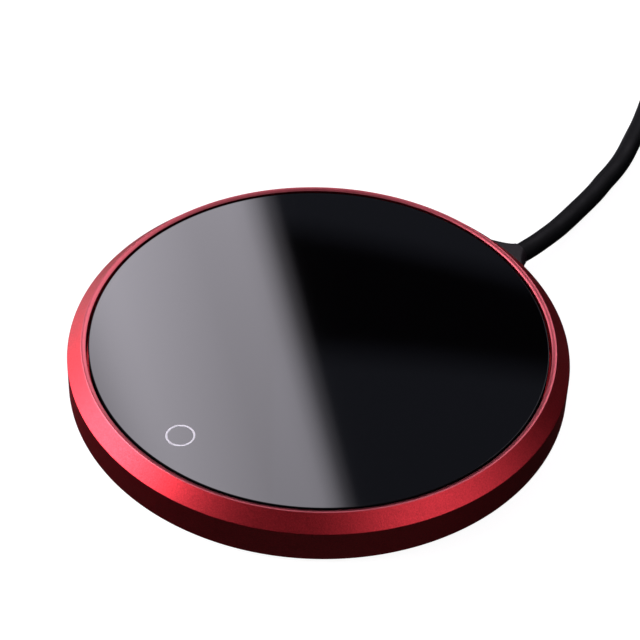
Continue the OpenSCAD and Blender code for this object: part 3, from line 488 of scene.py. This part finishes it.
LOOKS = {
    "anodised_ring": anodised_look(),
    "ring_lip": lip_look(),
    "black_glass": glass_look(),
    "ground_edge": ground_look(),
    "white_print": plain_look("white_print", (0.62, 0.61, 0.63), 0.45, 5000, 0.000004, change=0.03),
    "base_plastic": plain_look("base_plastic", (0.022, 0.022, 0.024), 0.52, 2600, 0.000035),
    "foot_rubber": plain_look("foot_rubber", (0.009, 0.009, 0.009), 0.82, 1800, 0.00004),
    "steel": brushed_look("steel", (0.56, 0.57, 0.58), 0.30),
    "black_steel": plain_look("black_steel", (0.030, 0.030, 0.033), 0.34, 2400, 0.00001, 1.0),
    "spring_steel": brushed_look("spring_steel", (0.50, 0.50, 0.52), 0.26),
    "board_green": board_look(),
    "part_black": plain_look("part_black", (0.018, 0.018, 0.019), 0.48, 3500, 0.00002),
    "part_yellow": plain_look("part_yellow", (0.62, 0.36, 0.03), 0.40, 1500, 0.00003),
    "terminal_green": plain_look("terminal_green", (0.02, 0.20, 0.07), 0.45, 2200, 0.00003),
    "fuse_glass": plain_look("fuse_glass", (0.42, 0.43, 0.42), 0.16, 2000, 0.000004, Coat_Weight=0.5),
    "plunger_white": plain_look("plunger_white", (0.66, 0.65, 0.62), 0.42, 2600, 0.00002, change=0.04),
    "brass_wire": brushed_look("brass_wire", (0.62, 0.42, 0.16), 0.28),
    "copper_foil": brushed_look("copper_foil", (0.66, 0.30, 0.17), 0.30),
    "plate_aluminium": brushed_look("plate_aluminium", (0.70, 0.71, 0.72), 0.33),
    "mica": mica_look(),
    "track_metal": brushed_look("track_metal", (0.40, 0.39, 0.36), 0.35),
    "insulation": fibre_look("insulation", (0.62, 0.60, 0.55), 900, 0.00015),
    "cord_black": plain_look(
        "cord_black", (0.0016, 0.0016, 0.0020), 0.55, 1700, 0.00002, Specular_IOR_Level=0.10,
    ),
    # Black with a red cast: the red is a painted reflection of the red ring beside the relief.
    "relief_black": plain_look(
        "relief_black", (0.0060, 0.0032, 0.0045), 0.52, 2400, 0.00002, Specular_IOR_Level=0.16,
    ),
    "plug_black": plain_look("plug_black", (0.010, 0.010, 0.011), 0.50, 2200, 0.000035),
    "pin_metal": brushed_look("pin_metal", (0.66, 0.65, 0.62), 0.22),
    "core_insulation": plain_look("core_insulation", (0.10, 0.04, 0.02), 0.40, 1500, 0.00002),
    "lead_sleeve": fibre_look("lead_sleeve", (0.55, 0.50, 0.40), 2200, 0.00008),
    "sense_wire": plain_look("sense_wire", (0.40, 0.03, 0.03), 0.35, 1500, 0.00001),
    "bead_coat": plain_look("bead_coat", (0.03, 0.03, 0.12), 0.30, 1500, 0.00001),
    "tie_fabric": fibre_look("tie_fabric", (0.014, 0.014, 0.016), 2400, 0.00012),
}


def dress(piece, body, slot, nodes=(), looks=None):
    """Gives a piece its materials and its body, and hides the nodes that it stands for. Slot names its
    material when looks is not given.
    """
    held = piece.data.materials
    for place, look in enumerate(looks or [slot]):
        if place < len(held):
            held[place] = LOOKS[look]
        else:
            held.append(LOOKS[look])
    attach(piece, body)
    if nodes:
        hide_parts(*nodes)
    return piece


for cad_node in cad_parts.values():
    for holder in cad_node.material_slots:
        holder.material = LOOKS[holder.material.name.split(".")[0]]


# ---- Ring ----
NOTCH_HALF = 4.9                   # half the width of the opening for the cord's neck
NOTCH_TOP = 8.2
COLLAR_HALF = 7.1                  # half the width of the room for the relief's collar
COLLAR_END = 57.75                 # how far out that room reaches
CUT_FROM = 50                      # both are cut from here outwards
BOSS_AT = 54.6                     # the radius at which the screw posts stand
CREST = (56.55, 12.75)             # radius and height of the ring's highest line
LAND = [(56.25, 12.72), (55.85, 12.59)]     # the land that falls from it towards the glass
INNER = (55.45, 12.36)


def cut_with(piece, cutter):
    """Cuts one mesh piece with another, which is then removed."""
    tool = piece.modifiers.new("cut", "BOOLEAN")
    tool.operation = "DIFFERENCE"
    tool.solver = "EXACT"
    tool.object = cutter
    bpy.context.view_layer.update()
    view = bpy.context.evaluated_depsgraph_get()
    mesh = bpy.data.meshes.new_from_object(piece.evaluated_get(view))
    piece.modifiers.clear()
    piece.data = mesh
    bpy.data.objects.remove(cutter)
    smooth(mesh)


def block(name, low, high):
    """A cutting block between two corners."""
    points = [(x, y, z) for x in (low[0], high[0]) for y in (low[1], high[1]) for z in (low[2], high[2])]
    faces = [[0, 1, 3, 2], [4, 6, 7, 5], [0, 4, 5, 1], [2, 3, 7, 6], [0, 2, 6, 4], [1, 5, 7, 3]]
    return mesh_piece(name, points, faces)


def make_ring():
    corners = [
        (58, 1), (59.7, 1), (60, 1.3), (60, 9.3), CREST, *LAND, INNER, (INNER[0], 8.8),
        (52.5, 8.8), (52.5, 7), (58, 7),
    ]
    radii = [0.15, 0.12, 0.12, 0.30, 0.2, 1.0, 1.0, 0.05, 0.05, 0.15, 0.15, 0.05]
    outline = rounded(corners, radii, 8)
    points, faces = lathe(outline, 360)
    zones = []
    count = len(outline)
    for k in range(len(faces)):
        i = k % count
        a, b = Vector(outline[i]), Vector(outline[(i + 1) % count])
        middle = (a + b) / 2
        zones.append(1 if middle.y > INNER[1] - 0.3 and middle.x < CREST[0] + 0.06 else 0)
    ring = mesh_piece("ring_shell", points, faces, zones)
    ring.data.materials.append(LOOKS["anodised_ring"])
    ring.data.materials.append(LOOKS["ring_lip"])
    reach = RING_R + 1
    cut_with(ring, block("notch", (-NOTCH_HALF, CUT_FROM, 0), (NOTCH_HALF, reach, NOTCH_TOP)))
    room = block(
        "collar_room", (-COLLAR_HALF, CUT_FROM, 0), (COLLAR_HALF, COLLAR_END, NOTCH_TOP + 0.2),
    )
    cut_with(ring, room)
    return dress(ring, "casing", "anodised_ring", ["rim_ring"], ["anodised_ring", "ring_lip"])


def make_bosses():
    """Four screw posts under the ring's ledge."""
    parts = []
    for k in range(4):
        angle = math.radians(45 + 90 * k)
        post = [(1.0, 2.6), (2.5, 2.6), (2.6, 2.7), (2.6, 7.05), (1.0, 7.05)]
        parts.append(lathe(post, 32, (BOSS_AT * math.cos(angle), BOSS_AT * math.sin(angle))))
    points, faces = joined(parts)
    return dress(mesh_piece("ring_bosses", points, faces), "casing", "anodised_ring")


make_ring()
make_bosses()


# ---- Glass and its touch mark ----
GLASS_STEPS = 320
MARK_LINE = 0.45                   # width of the printed line


def make_glass():
    bottom, top, radius = GLASS_LOW.z, GLASS_HIGH.z, GLASS_HIGH.x
    corners = [(0.01, bottom), (radius, bottom), (radius, top), (0.01, top)]
    outline = rounded(corners, [0, 0.2, 0.2, 0], 6)
    inner = [(54.0, top), (20.0, top)]
    outline = outline[:-1] + inner + [(0.01, top)]
    points, faces = lathe(outline, GLASS_STEPS, closed=False)
    zones = []
    for k in range(len(faces)):
        i = k % (len(outline) - 1)
        edge = min(outline[i][0], outline[i + 1][0]) > radius - 0.21
        zones.append(1 if edge and k < GLASS_STEPS * (len(outline) - 1) else 0)
    glass = mesh_piece("glass_disc", points, faces, zones)
    looks = ["black_glass", "ground_edge"]
    return dress(glass, "heating_plate", "black_glass", ["glass_plate"], looks)


def make_mark():
    """A printed circle, as thick as its ink: it stands hardly proud of the glass."""
    centre = (MARK_LOW + MARK_HIGH) / 2
    outer = (MARK_HIGH.x - MARK_LOW.x) / 2
    inner = outer - MARK_LINE
    top = GLASS_HIGH.z + 0.012
    corners = [(inner, top - 0.08), (outer, top - 0.08), (outer, top), (inner, top)]
    outline = rounded(corners, [0, 0, 0.01, 0.01], 2, 0.01)
    points, faces = lathe(outline, 160, (centre.x, centre.y))
    mark = mesh_piece("touch_circle", points, faces)
    return dress(mark, "heating_plate", "white_print", ["touch_key_mark"])


make_glass()
make_mark()


# ---- Strain relief ----
FLARE_BEND = 1.4                   # how hollow the flare's sides are, where 1 is straight


def make_relief():
    axis = EXIT.z
    wide, slim = (RELIEF_HIGH.x - RELIEF_LOW.x) / 2, 2.85
    tall = (RELIEF_HIGH.z - RELIEF_LOW.z) / 2
    bore = CORD_R + 0.03
    rings = []

    def ring(y, half_w, half_h, mid=axis, square=2.0):
        rings.append([(x, y, mid + z) for x, z in oval(half_w, half_h, square)])

    # y, half width, half height, middle, squareness: the neck, the collar and what fills the notch
    for section in (
        (48.0, bore, bore), (48.0, 2.85, 2.85), (48.15, 3.0, 3.0), (55.38, 3.0, 3.0),
        (55.4, 6.5, 2.5, 5.3, 12), (55.5, 6.7, 2.7, 5.3, 12), (57.3, 6.7, 2.7, 5.3, 12),
        (57.4, 6.5, 2.5, 5.3, 12), (57.42, 4.8, 2.7, 5.4, 12), (58.16, 4.8, 2.7, 5.4, 12),
        (58.18, 4.8, 3.4, 4.7, 12), (59.4, 4.8, 3.4, 4.7, 12),
    ):
        ring(*section)
    for half_w, half_h, square, out in ((wide - 0.1, tall - 0.05, 9, 0.01), (wide, tall, 9, 0.08)):
        seat = oval(half_w, half_h, square)
        rings.append([
            (x, math.sqrt((RING_R + out) ** 2 - x * x), axis + z) for x, z in seat
        ])
    length = RELIEF_HIGH.y - RING_R
    ends = [length * (0.965 - 0.95 * k / 22) for k in range(1, 23)] + [0.04, 0.0]
    for end in ends:
        shape = (end / length) ** FLARE_BEND
        fall = 0.1 * max(0.0, 1 - end / 0.08) ** 2
        half_w = slim + (wide - slim) * shape - fall
        half_h = slim + (tall - slim) * shape - fall
        ring(RELIEF_HIGH.y - end, half_w, half_h, axis, 2.3 + 6 * shape)
    y = RELIEF_HIGH.y
    ring(y, bore + 0.06, bore + 0.06)
    ring(y - 0.06, bore, bore)
    points, faces = loft(rings, closed=True)
    relief = mesh_piece("cord_relief", points, faces)
    return dress(relief, "casing", "relief_black", ["strain_relief"])


relief = make_relief()


# ---- Feet ----
FOOT_R = 6.0
FOOT_H = 1.4


def make_feet():
    across = FEET_REACH - FOOT_R
    corners = [(0.01, 0), (4.2, 0), (FOOT_R, 0), (FOOT_R, FOOT_H), (0.01, FOOT_H)]
    outline = rounded(corners, [0, 0, 0.45, 0.05, 0], 6)
    parts = []
    for x, y in ((1, 1), (-1, 1), (-1, -1), (1, -1)):
        parts.append(lathe(outline, 72, (x * across, y * across), closed=False))
    points, faces = joined(parts)
    return dress(mesh_piece("rubber_feet", points, faces), "casing", "foot_rubber", ["feet"])


make_feet()


# ---- Plug ----
PLUG_X = (PLUG_LOW.x + PLUG_HIGH.x) / 2
PLUG_Z = (PLUG_LOW.z + PLUG_HIGH.z) / 2
PLUG_END = PLUG_HIGH.y             # where the cord enters
PLUG_HALF_W = 17.65                # half its width and half its thickness where it is widest
PLUG_HALF_T = 6.85
GRIP = (17.2, 28.2)                # from where to where the sides have grip ribs
GRIP_PITCH = 2.2
GRIP_DEPTH = 0.45
PIN_GAP = 19.0
PIN_R = 2.0
PIN_END = 55.0                     # the tips, from where the cord enters
SLEEVE_END = 46.0                  # where the pins' insulation ends, from there too


def along_plug(outline, steps, x):
    """An outline of (radius, distance from the cord's end) turned round the plug's axis."""
    points, faces = lathe(outline, steps, closed=False)
    return [(x + p[0], PLUG_END - p[2], PLUG_Z + p[1]) for p in points], faces


def make_plug():
    # distance from the cord's end, half width, half thickness, squareness
    stations = [
        (0.3, 3.50, 3.50, 2.0), (3, 3.75, 3.75, 2.0), (6, 4.05, 4.05, 2.0), (8, 4.5, 4.35, 2.1),
        (10, 5.9, 4.95, 2.4), (12.5, 8.0, 5.85, 2.8), (15, 10.5, 6.6, 3.2), (18, 12.8, 6.82, 3.6),
        (22, 15.3, 6.85, 4.2), (26, 17.3, 6.85, 5.0), (29, 17.63, 6.85, 6.0), (34.6, 17.65, 6.85, 7.0),
    ]
    body = spline([(s, w, t) for s, w, t, _ in stations], 0.35)
    squares = spline([(s, q, 0) for s, _, _, q in stations], 0.35)

    def square_at(s):
        for a, b in zip(squares, squares[1:]):
            if a.x <= s <= b.x:
                return a.y + (b.y - a.y) * (s - a.x) / max(1e-6, b.x - a.x)
        return squares[-1].y

    rings = []

    def ring(s, w, t, square):
        rings.append([(PLUG_X + x, PLUG_END - s, PLUG_Z + z) for x, z in oval(w, t, square, 96)])

    ring(0.0, CORD_R + 0.03, CORD_R + 0.03, 2)
    ring(0.0, 3.2, 3.2, 2)
    ring(0.1, 3.4, 3.4, 2)
    for place in body:
        grip = 0.0
        if GRIP[0] < place.x < GRIP[1]:
            wave = -math.cos(math.tau * (place.x - GRIP[0]) / GRIP_PITCH)
            grip = GRIP_DEPTH * max(0.0, wave) ** 1.5
        ring(place.x, place.y - grip, place.z, square_at(place.x))
    for s, less in ((35.2, 0.12), (35.6, 0.4), (35.85, 0.8), (36.0, 1.4)):
        ring(s, PLUG_HALF_W - less, PLUG_HALF_T - less, 6.5)
    parts = [loft(rings)]
    for x in (-PIN_GAP / 2, PIN_GAP / 2):
        sleeve = [
            (0.01, 35.9), (2.1, 35.9), (1.9, 36.1), (1.72, 36.4), (1.7, 36.8), (1.7, 45.9),
            (1.62, SLEEVE_END), (0.01, SLEEVE_END),
        ]
        parts.append(along_plug(sleeve, 40, PLUG_X + x))
    points, faces = joined(parts)
    plug = mesh_piece("plug_shell", points, faces, angle=math.radians(40))
    return dress(plug, "casing", "plug_black", ["plug_body"])


def make_pins():
    parts = []
    for x in (-PIN_GAP / 2, PIN_GAP / 2):
        turns = [math.pi / 2 * k / 8 for k in range(8)]
        tip = [(PIN_R * math.cos(a), PIN_END - PIN_R + PIN_R * math.sin(a)) for a in turns]
        pin = [(0.01, 45.95), (1.85, 45.95), (PIN_R, 46.1)] + tip + [(0.01, PIN_END)]
        parts.append(along_plug(pin, 40, PLUG_X + x))
    points, faces = joined(parts)
    return dress(mesh_piece("plug_contacts", points, faces), "casing", "pin_metal", ["plug_pins"])


plug = make_plug()
pins = make_pins()


# ---- Tie round the coil ----
TIE_W = 8.0


def hull_round(circles, margin, steps=96):
    """The line that a tight strap follows round some circles, in their plane."""
    out = []
    for k in range(steps):
        a = math.tau * k / steps
        way = Vector((math.cos(a), math.sin(a)))
        reach = max(way.dot(c) + r for c, r in circles) + margin
        out.append((way, reach))
    points = []
    for k in range(steps):
        (u, p), (v, q) = out[k - 1], out[k]
        cross = u.x * v.y - u.y * v.x
        points.append(Vector(((p * v.y - q * u.y) / cross, (q * u.x - p * v.x) / cross)))
    return points


def make_tie():
    """A hook-and-loop strap, once round the turns, with its end lapped on the outside."""
    lanes = [COIL_LANE, COIL_LANE - COIL_PITCH, COIL_LANE - 2 * COIL_PITCH]
    circles = [(Vector((r, FLOOR_Z + TIE_T + 0.02)), CORD_R) for r in lanes]
    circles += [(Vector((r, FLOOR_Z + TIE_T + 0.02 + COIL_PITCH)), CORD_R) for r in lanes[:2]]
    a = math.radians(TIE_ANGLE)
    across = Vector((math.cos(a), math.sin(a), 0))
    along = Vector((-math.sin(a), math.cos(a), 0))
    origin = Vector((COIL_AT.x, COIL_AT.y, 0))

    def strip(inside, outside, first=0, last=None):
        """A flat band between two lines round the turns."""
        low = hull_round(circles, inside)
        high = hull_round(circles, outside)
        whole = last is None
        keys = range(len(low)) if whole else range(first, last)
        rings = []
        for k in keys:
            p, q = low[k % len(low)], high[k % len(high)]
            soft = 0.12
            way = (q - p).normalized() * soft
            half = TIE_W / 2
            ring = []
            for flat, side in ((p, -half + soft), (p, half - soft), (p + way, half), (q - way, half),
                               (q, half - soft), (q, -half + soft), (q - way, -half), (p + way, -half)):
                ring.append(tuple(origin + across * flat.x + Vector((0, 0, flat.y)) + along * side))
            rings.append(ring)
        return loft(rings, closed=whole)

    parts = [strip(0.03, TIE_T), strip(TIE_T + 0.02, TIE_T + 0.62, -8, 30)]
    points, faces = joined(parts)
    return dress(mesh_piece("coil_tie", points, faces), "casing", "tie_fabric", ["cord_tie"])


tie = make_tie()


# ---- The cord's finish, its body, and the nodes that it stands for ----
dress(cord, "casing", "cord_black", ["power_cord", "cord_coil", "plug_lead"])


# ---- Studio ----
CARD_R = 1.4                       # distance in metres at which a card's place is given
WARM = (1.0, 0.953, 1.06)
COOL = (0.84, 0.91, 1.2)
FLOOR_SIDE = 6.0


def studio_point(azimuth, height, radius):
    """A point round the object: azimuth 0 is away from the camera and grows to its right."""
    a = math.radians(azimuth)
    place = Vector((radius * math.sin(a), radius * math.cos(a), height))
    place.rotate(Matrix.Rotation(CAMERA_SIDE, 3, "Z"))
    return place


def glow_material(name, strength, colour, across, upward):
    """Light of a strength that follows one ramp across the card and one up it."""
    material = bpy.data.materials.new(name)
    material.use_nodes = True
    tree = material.node_tree
    tree.nodes.clear()
    out = tree.nodes.new("ShaderNodeOutputMaterial")
    glow = tree.nodes.new("ShaderNodeEmission")
    glow.inputs["Color"].default_value = (*colour, 1)
    place = tree.nodes.new("ShaderNodeTexCoord")
    split = tree.nodes.new("ShaderNodeSeparateXYZ")
    tree.links.new(place.outputs["UV"], split.inputs["Vector"])
    times = tree.nodes.new("ShaderNodeMath")
    times.operation = "MULTIPLY"
    for k, (axis, stops) in enumerate((("X", across), ("Y", upward))):
        ramp = tree.nodes.new("ShaderNodeValToRGB")
        elements = ramp.color_ramp.elements
        while len(elements) < len(stops):
            elements.new(0.5)
        for element, (position, level) in zip(elements, stops):
            element.position = position
            element.color = (level, level, level, 1)
        tree.links.new(split.outputs[axis], ramp.inputs["Fac"])
        tree.links.new(ramp.outputs["Color"], times.inputs[k])
    scale = tree.nodes.new("ShaderNodeMath")
    scale.operation = "MULTIPLY"
    scale.inputs[1].default_value = strength
    tree.links.new(times.outputs[0], scale.inputs[0])
    tree.links.new(scale.outputs[0], glow.inputs["Strength"])
    clear = tree.nodes.new("ShaderNodeBsdfTransparent")
    both = tree.nodes.new("ShaderNodeAddShader")
    tree.links.new(glow.outputs["Emission"], both.inputs[0])
    tree.links.new(clear.outputs["BSDF"], both.inputs[1])
    tree.links.new(both.outputs["Shader"], out.inputs["Surface"])
    return material


def add_card(name, radius, right, width, low, high, strength, across, upward, colour=WARM, lean=0.0):
    """A curved soft light that adds to what is behind it. Right gives its right edge's azimuth
    at a height, and width its degrees to the left. Across and upward are lists of (degrees or
    metres, level). It rises by lean metres for each degree to the right."""
    steps, rows = 90, 30
    mesh = bpy.data.meshes.new(name)
    points, faces, places = [], [], []
    for j in range(rows + 1):
        v = j / rows
        height = low + (high - low) * v
        for i in range(steps + 1):
            u = i / steps
            spot = studio_point(right(height) - width * u, height - lean * width * u, CARD_R)
            points.append(spot * (radius / CARD_R))
            places.append((u, v))
    for j in range(rows):
        for i in range(steps):
            k = j * (steps + 1) + i
            faces.append([k, k + 1, k + steps + 2, k + steps + 1])
    mesh.from_pydata(points, [], faces)
    layer = mesh.uv_layers.new(name="card")
    for loop in mesh.loops:
        layer.data[loop.index].uv = places[loop.vertex_index]
    level_across = [(place / width, level) for place, level in across]
    level_up = [((place - low) / (high - low), level) for place, level in upward]
    mesh.materials.append(glow_material(name, strength, colour, level_across, level_up))
    card = link(name, mesh)
    card.visible_camera = False
    card.visible_shadow = False


def key_edge(height):
    """The key light's right edge leans, as its mirror image in the glass does."""
    return -1.75 + (height - 1.134) * 8.83


def at_azimuth(azimuth):
    return lambda height: azimuth


def fade_in(start, end, level, steps=5):
    """Stops of a soft edge that eases from nothing to a level."""
    return [(start + (end - start) * k / steps, level * ease(k / steps)) for k in range(steps + 1)]


# Levels are by degrees from a card's right edge, and by height in metres at CARD_R. They are a fit
# to the photograph's reflections: estimated from brightness measured in it, then changed.
KEY_LEVEL = 0.39                   # the key light's level beside its right edge
add_card("key_light", 1.40, key_edge, 150, -1.4, 1.9, 11.2, [
    (0.0, 0.0), *fade_in(0.1, 2.0, KEY_LEVEL), (4, KEY_LEVEL), (8.5, 0.55), (9.5, 0.5), (12, 0.22),
    (15, 0.08), (20, 0.05), (46, 0.045), (60, 0.14), (75, 0.88), (86, 1.0), (98, 0.72), (108, 0.27),
    (118, 0.07), (133, 0.01), (150, 0.0),
], [(-1.4, 0.002), (-0.8, 0.003), (-0.5, 0.008), (-0.2, 0.02), (0.5, 0.03), (0.95, 0.06), (1.1, 1.0),
    (1.16, 1.0), (1.6, 0.84), (1.72, 0.4), (1.9, 0.15)])
add_card("key_low", 1.37, at_azimuth(-32), 120, -0.3, 1.05, 11.2, [
    (0.0, 0.0), (12, 0.35), (24, 0.5), (36, 0.8), (48, 1.0), (60, 1.0), (68, 0.8), (76, 0.4),
    (86, 0.12), (101, 0.015), (120, 0.0),
], [(-0.3, 0.0), (-0.1, 0.07), (0.1, 0.2), (0.35, 0.68), (0.5, 0.9), (0.9, 0.85), (1.05, 0.0)])
add_card("key_foot", 1.34, at_azimuth(-14), 46, -0.45, 0.35, 1.25, [
    (0.0, 0.0), (8, 0.9), (20, 1.0), (36, 0.7), (46, 0.0),
], [(-0.45, 0.0), (-0.3, 1.0), (0.1, 1.0), (0.35, 0.0)])
add_card("low_fill", 1.46, at_azimuth(50), 56, 0.6, 1.56, 0.12, [
    (0.0, 0.0), (16, 1.0), (56, 1.0),
], [(0.6, 0.0), (0.8, 1.0), (1.39, 1.0), (1.43, 0.0)], COOL, 0.0049)
add_card("high_fill", 1.49, at_azimuth(50), 52, 1.31, 2.2, 0.12, [
    (0.0, 0.0), (16, 1.0), (52, 1.0),
], [(1.31, 0.0), (1.36, 1.0), (2.0, 1.0), (2.2, 0.0)], COOL)
add_card("side_light", 1.43, at_azimuth(168), 100, -1.4, 2.1, 1.6, [
    (0.0, 0.0), (15, 0.5), (28, 1.0), (50, 1.0), (65, 0.78), (80, 0.3), (100, 0.0),
], [(-1.4, 0.02), (0.3, 0.03), (0.75, 1.0), (1.7, 1.0), (2.1, 0.0)])
add_card("front_fill", 1.52, at_azimuth(240), 120, 0.4, 3.0, 0.08, [
    (0.0, 1.0), (120, 1.0),
], [(0.4, 0.0), (0.7, 1.0), (2.6, 1.0), (3.0, 0.0)])
add_card("back_light", 1.55, at_azimuth(80), 68, 0.9, 2.9, 2.4, [
    (0.0, 0.0), (12, 0.4), (24, 0.52), (32, 0.52), (40, 0.66), (48, 0.85), (54, 1.0), (64, 1.0), (68, 0.0),
], [(0.9, 0.0), (1.1, 1.0), (2.6, 1.0), (2.9, 0.0)], WARM, 0.0115)
add_card("top_light", 1.58, at_azimuth(180), 360, 2.2, 9.0, 0.62, [
    (0.0, 0.5), (100, 0.6), (150, 1.0), (210, 1.0), (260, 0.6), (360, 0.5),
], [(2.2, 0.0), (2.6, 1.0), (9.0, 1.0)])


def add_floor():
    """A plain pale floor that is seen from above only."""
    half = FLOOR_SIDE / 2
    mesh = bpy.data.meshes.new("floor")
    corners = [(-half, -half, 0), (half, -half, 0), (half, half, 0), (-half, half, 0)]
    mesh.from_pydata(corners, [], [[0, 1, 2, 3]])
    floor = link("floor", mesh)
    material = bpy.data.materials.new("floor")
    material.use_nodes = True
    tree = material.node_tree
    tree.nodes.clear()
    out = tree.nodes.new("ShaderNodeOutputMaterial")
    matte = tree.nodes.new("ShaderNodeBsdfDiffuse")
    matte.inputs["Color"].default_value = (0.2, 0.2, 0.2, 1)
    glow = tree.nodes.new("ShaderNodeEmission")
    glow.inputs["Strength"].default_value = 0.92
    both = tree.nodes.new("ShaderNodeAddShader")
    tree.links.new(matte.outputs[0], both.inputs[0])
    tree.links.new(glow.outputs[0], both.inputs[1])
    clear = tree.nodes.new("ShaderNodeBsdfTransparent")
    side = tree.nodes.new("ShaderNodeNewGeometry")
    pick = tree.nodes.new("ShaderNodeMixShader")
    tree.links.new(side.outputs["Backfacing"], pick.inputs["Fac"])
    tree.links.new(both.outputs[0], pick.inputs[1])
    tree.links.new(clear.outputs[0], pick.inputs[2])
    tree.links.new(pick.outputs[0], out.inputs["Surface"])
    mesh.materials.append(material)
    floor.visible_glossy = False
    floor.visible_diffuse = False
    floor.visible_shadow = False


def add_world():
    """White round the set, a dim room for what the object mirrors, and soft light from below."""
    world = bpy.data.worlds.new("studio")
    world.use_nodes = True
    bpy.context.scene.world = world
    tree = world.node_tree
    tree.nodes.clear()
    out = tree.nodes.new("ShaderNodeOutputWorld")
    paper = tree.nodes.new("ShaderNodeBackground")
    room = tree.nodes.new("ShaderNodeBackground")
    place = tree.nodes.new("ShaderNodeTexCoord")
    split = tree.nodes.new("ShaderNodeSeparateXYZ")
    tree.links.new(place.outputs["Generated"], split.inputs["Vector"])
    level = tree.nodes.new("ShaderNodeMapRange")
    for key, number in (("From Min", -0.99), ("From Max", -0.90), ("To Min", 0.9), ("To Max", 0.01)):
        level.inputs[key].default_value = number
    tree.links.new(split.outputs["Z"], level.inputs["Value"])
    tree.links.new(level.outputs["Result"], room.inputs["Strength"])
    seen = tree.nodes.new("ShaderNodeLightPath")
    pick = tree.nodes.new("ShaderNodeMixShader")
    tree.links.new(seen.outputs["Is Camera Ray"], pick.inputs["Fac"])
    tree.links.new(room.outputs[0], pick.inputs[1])
    tree.links.new(paper.outputs[0], pick.inputs[2])
    paper.inputs["Color"].default_value = (1, 1, 1, 1)
    tree.links.new(pick.outputs[0], out.inputs["Surface"])
    bpy.context.scene.view_settings.view_transform = "Standard"


add_floor()
add_world()
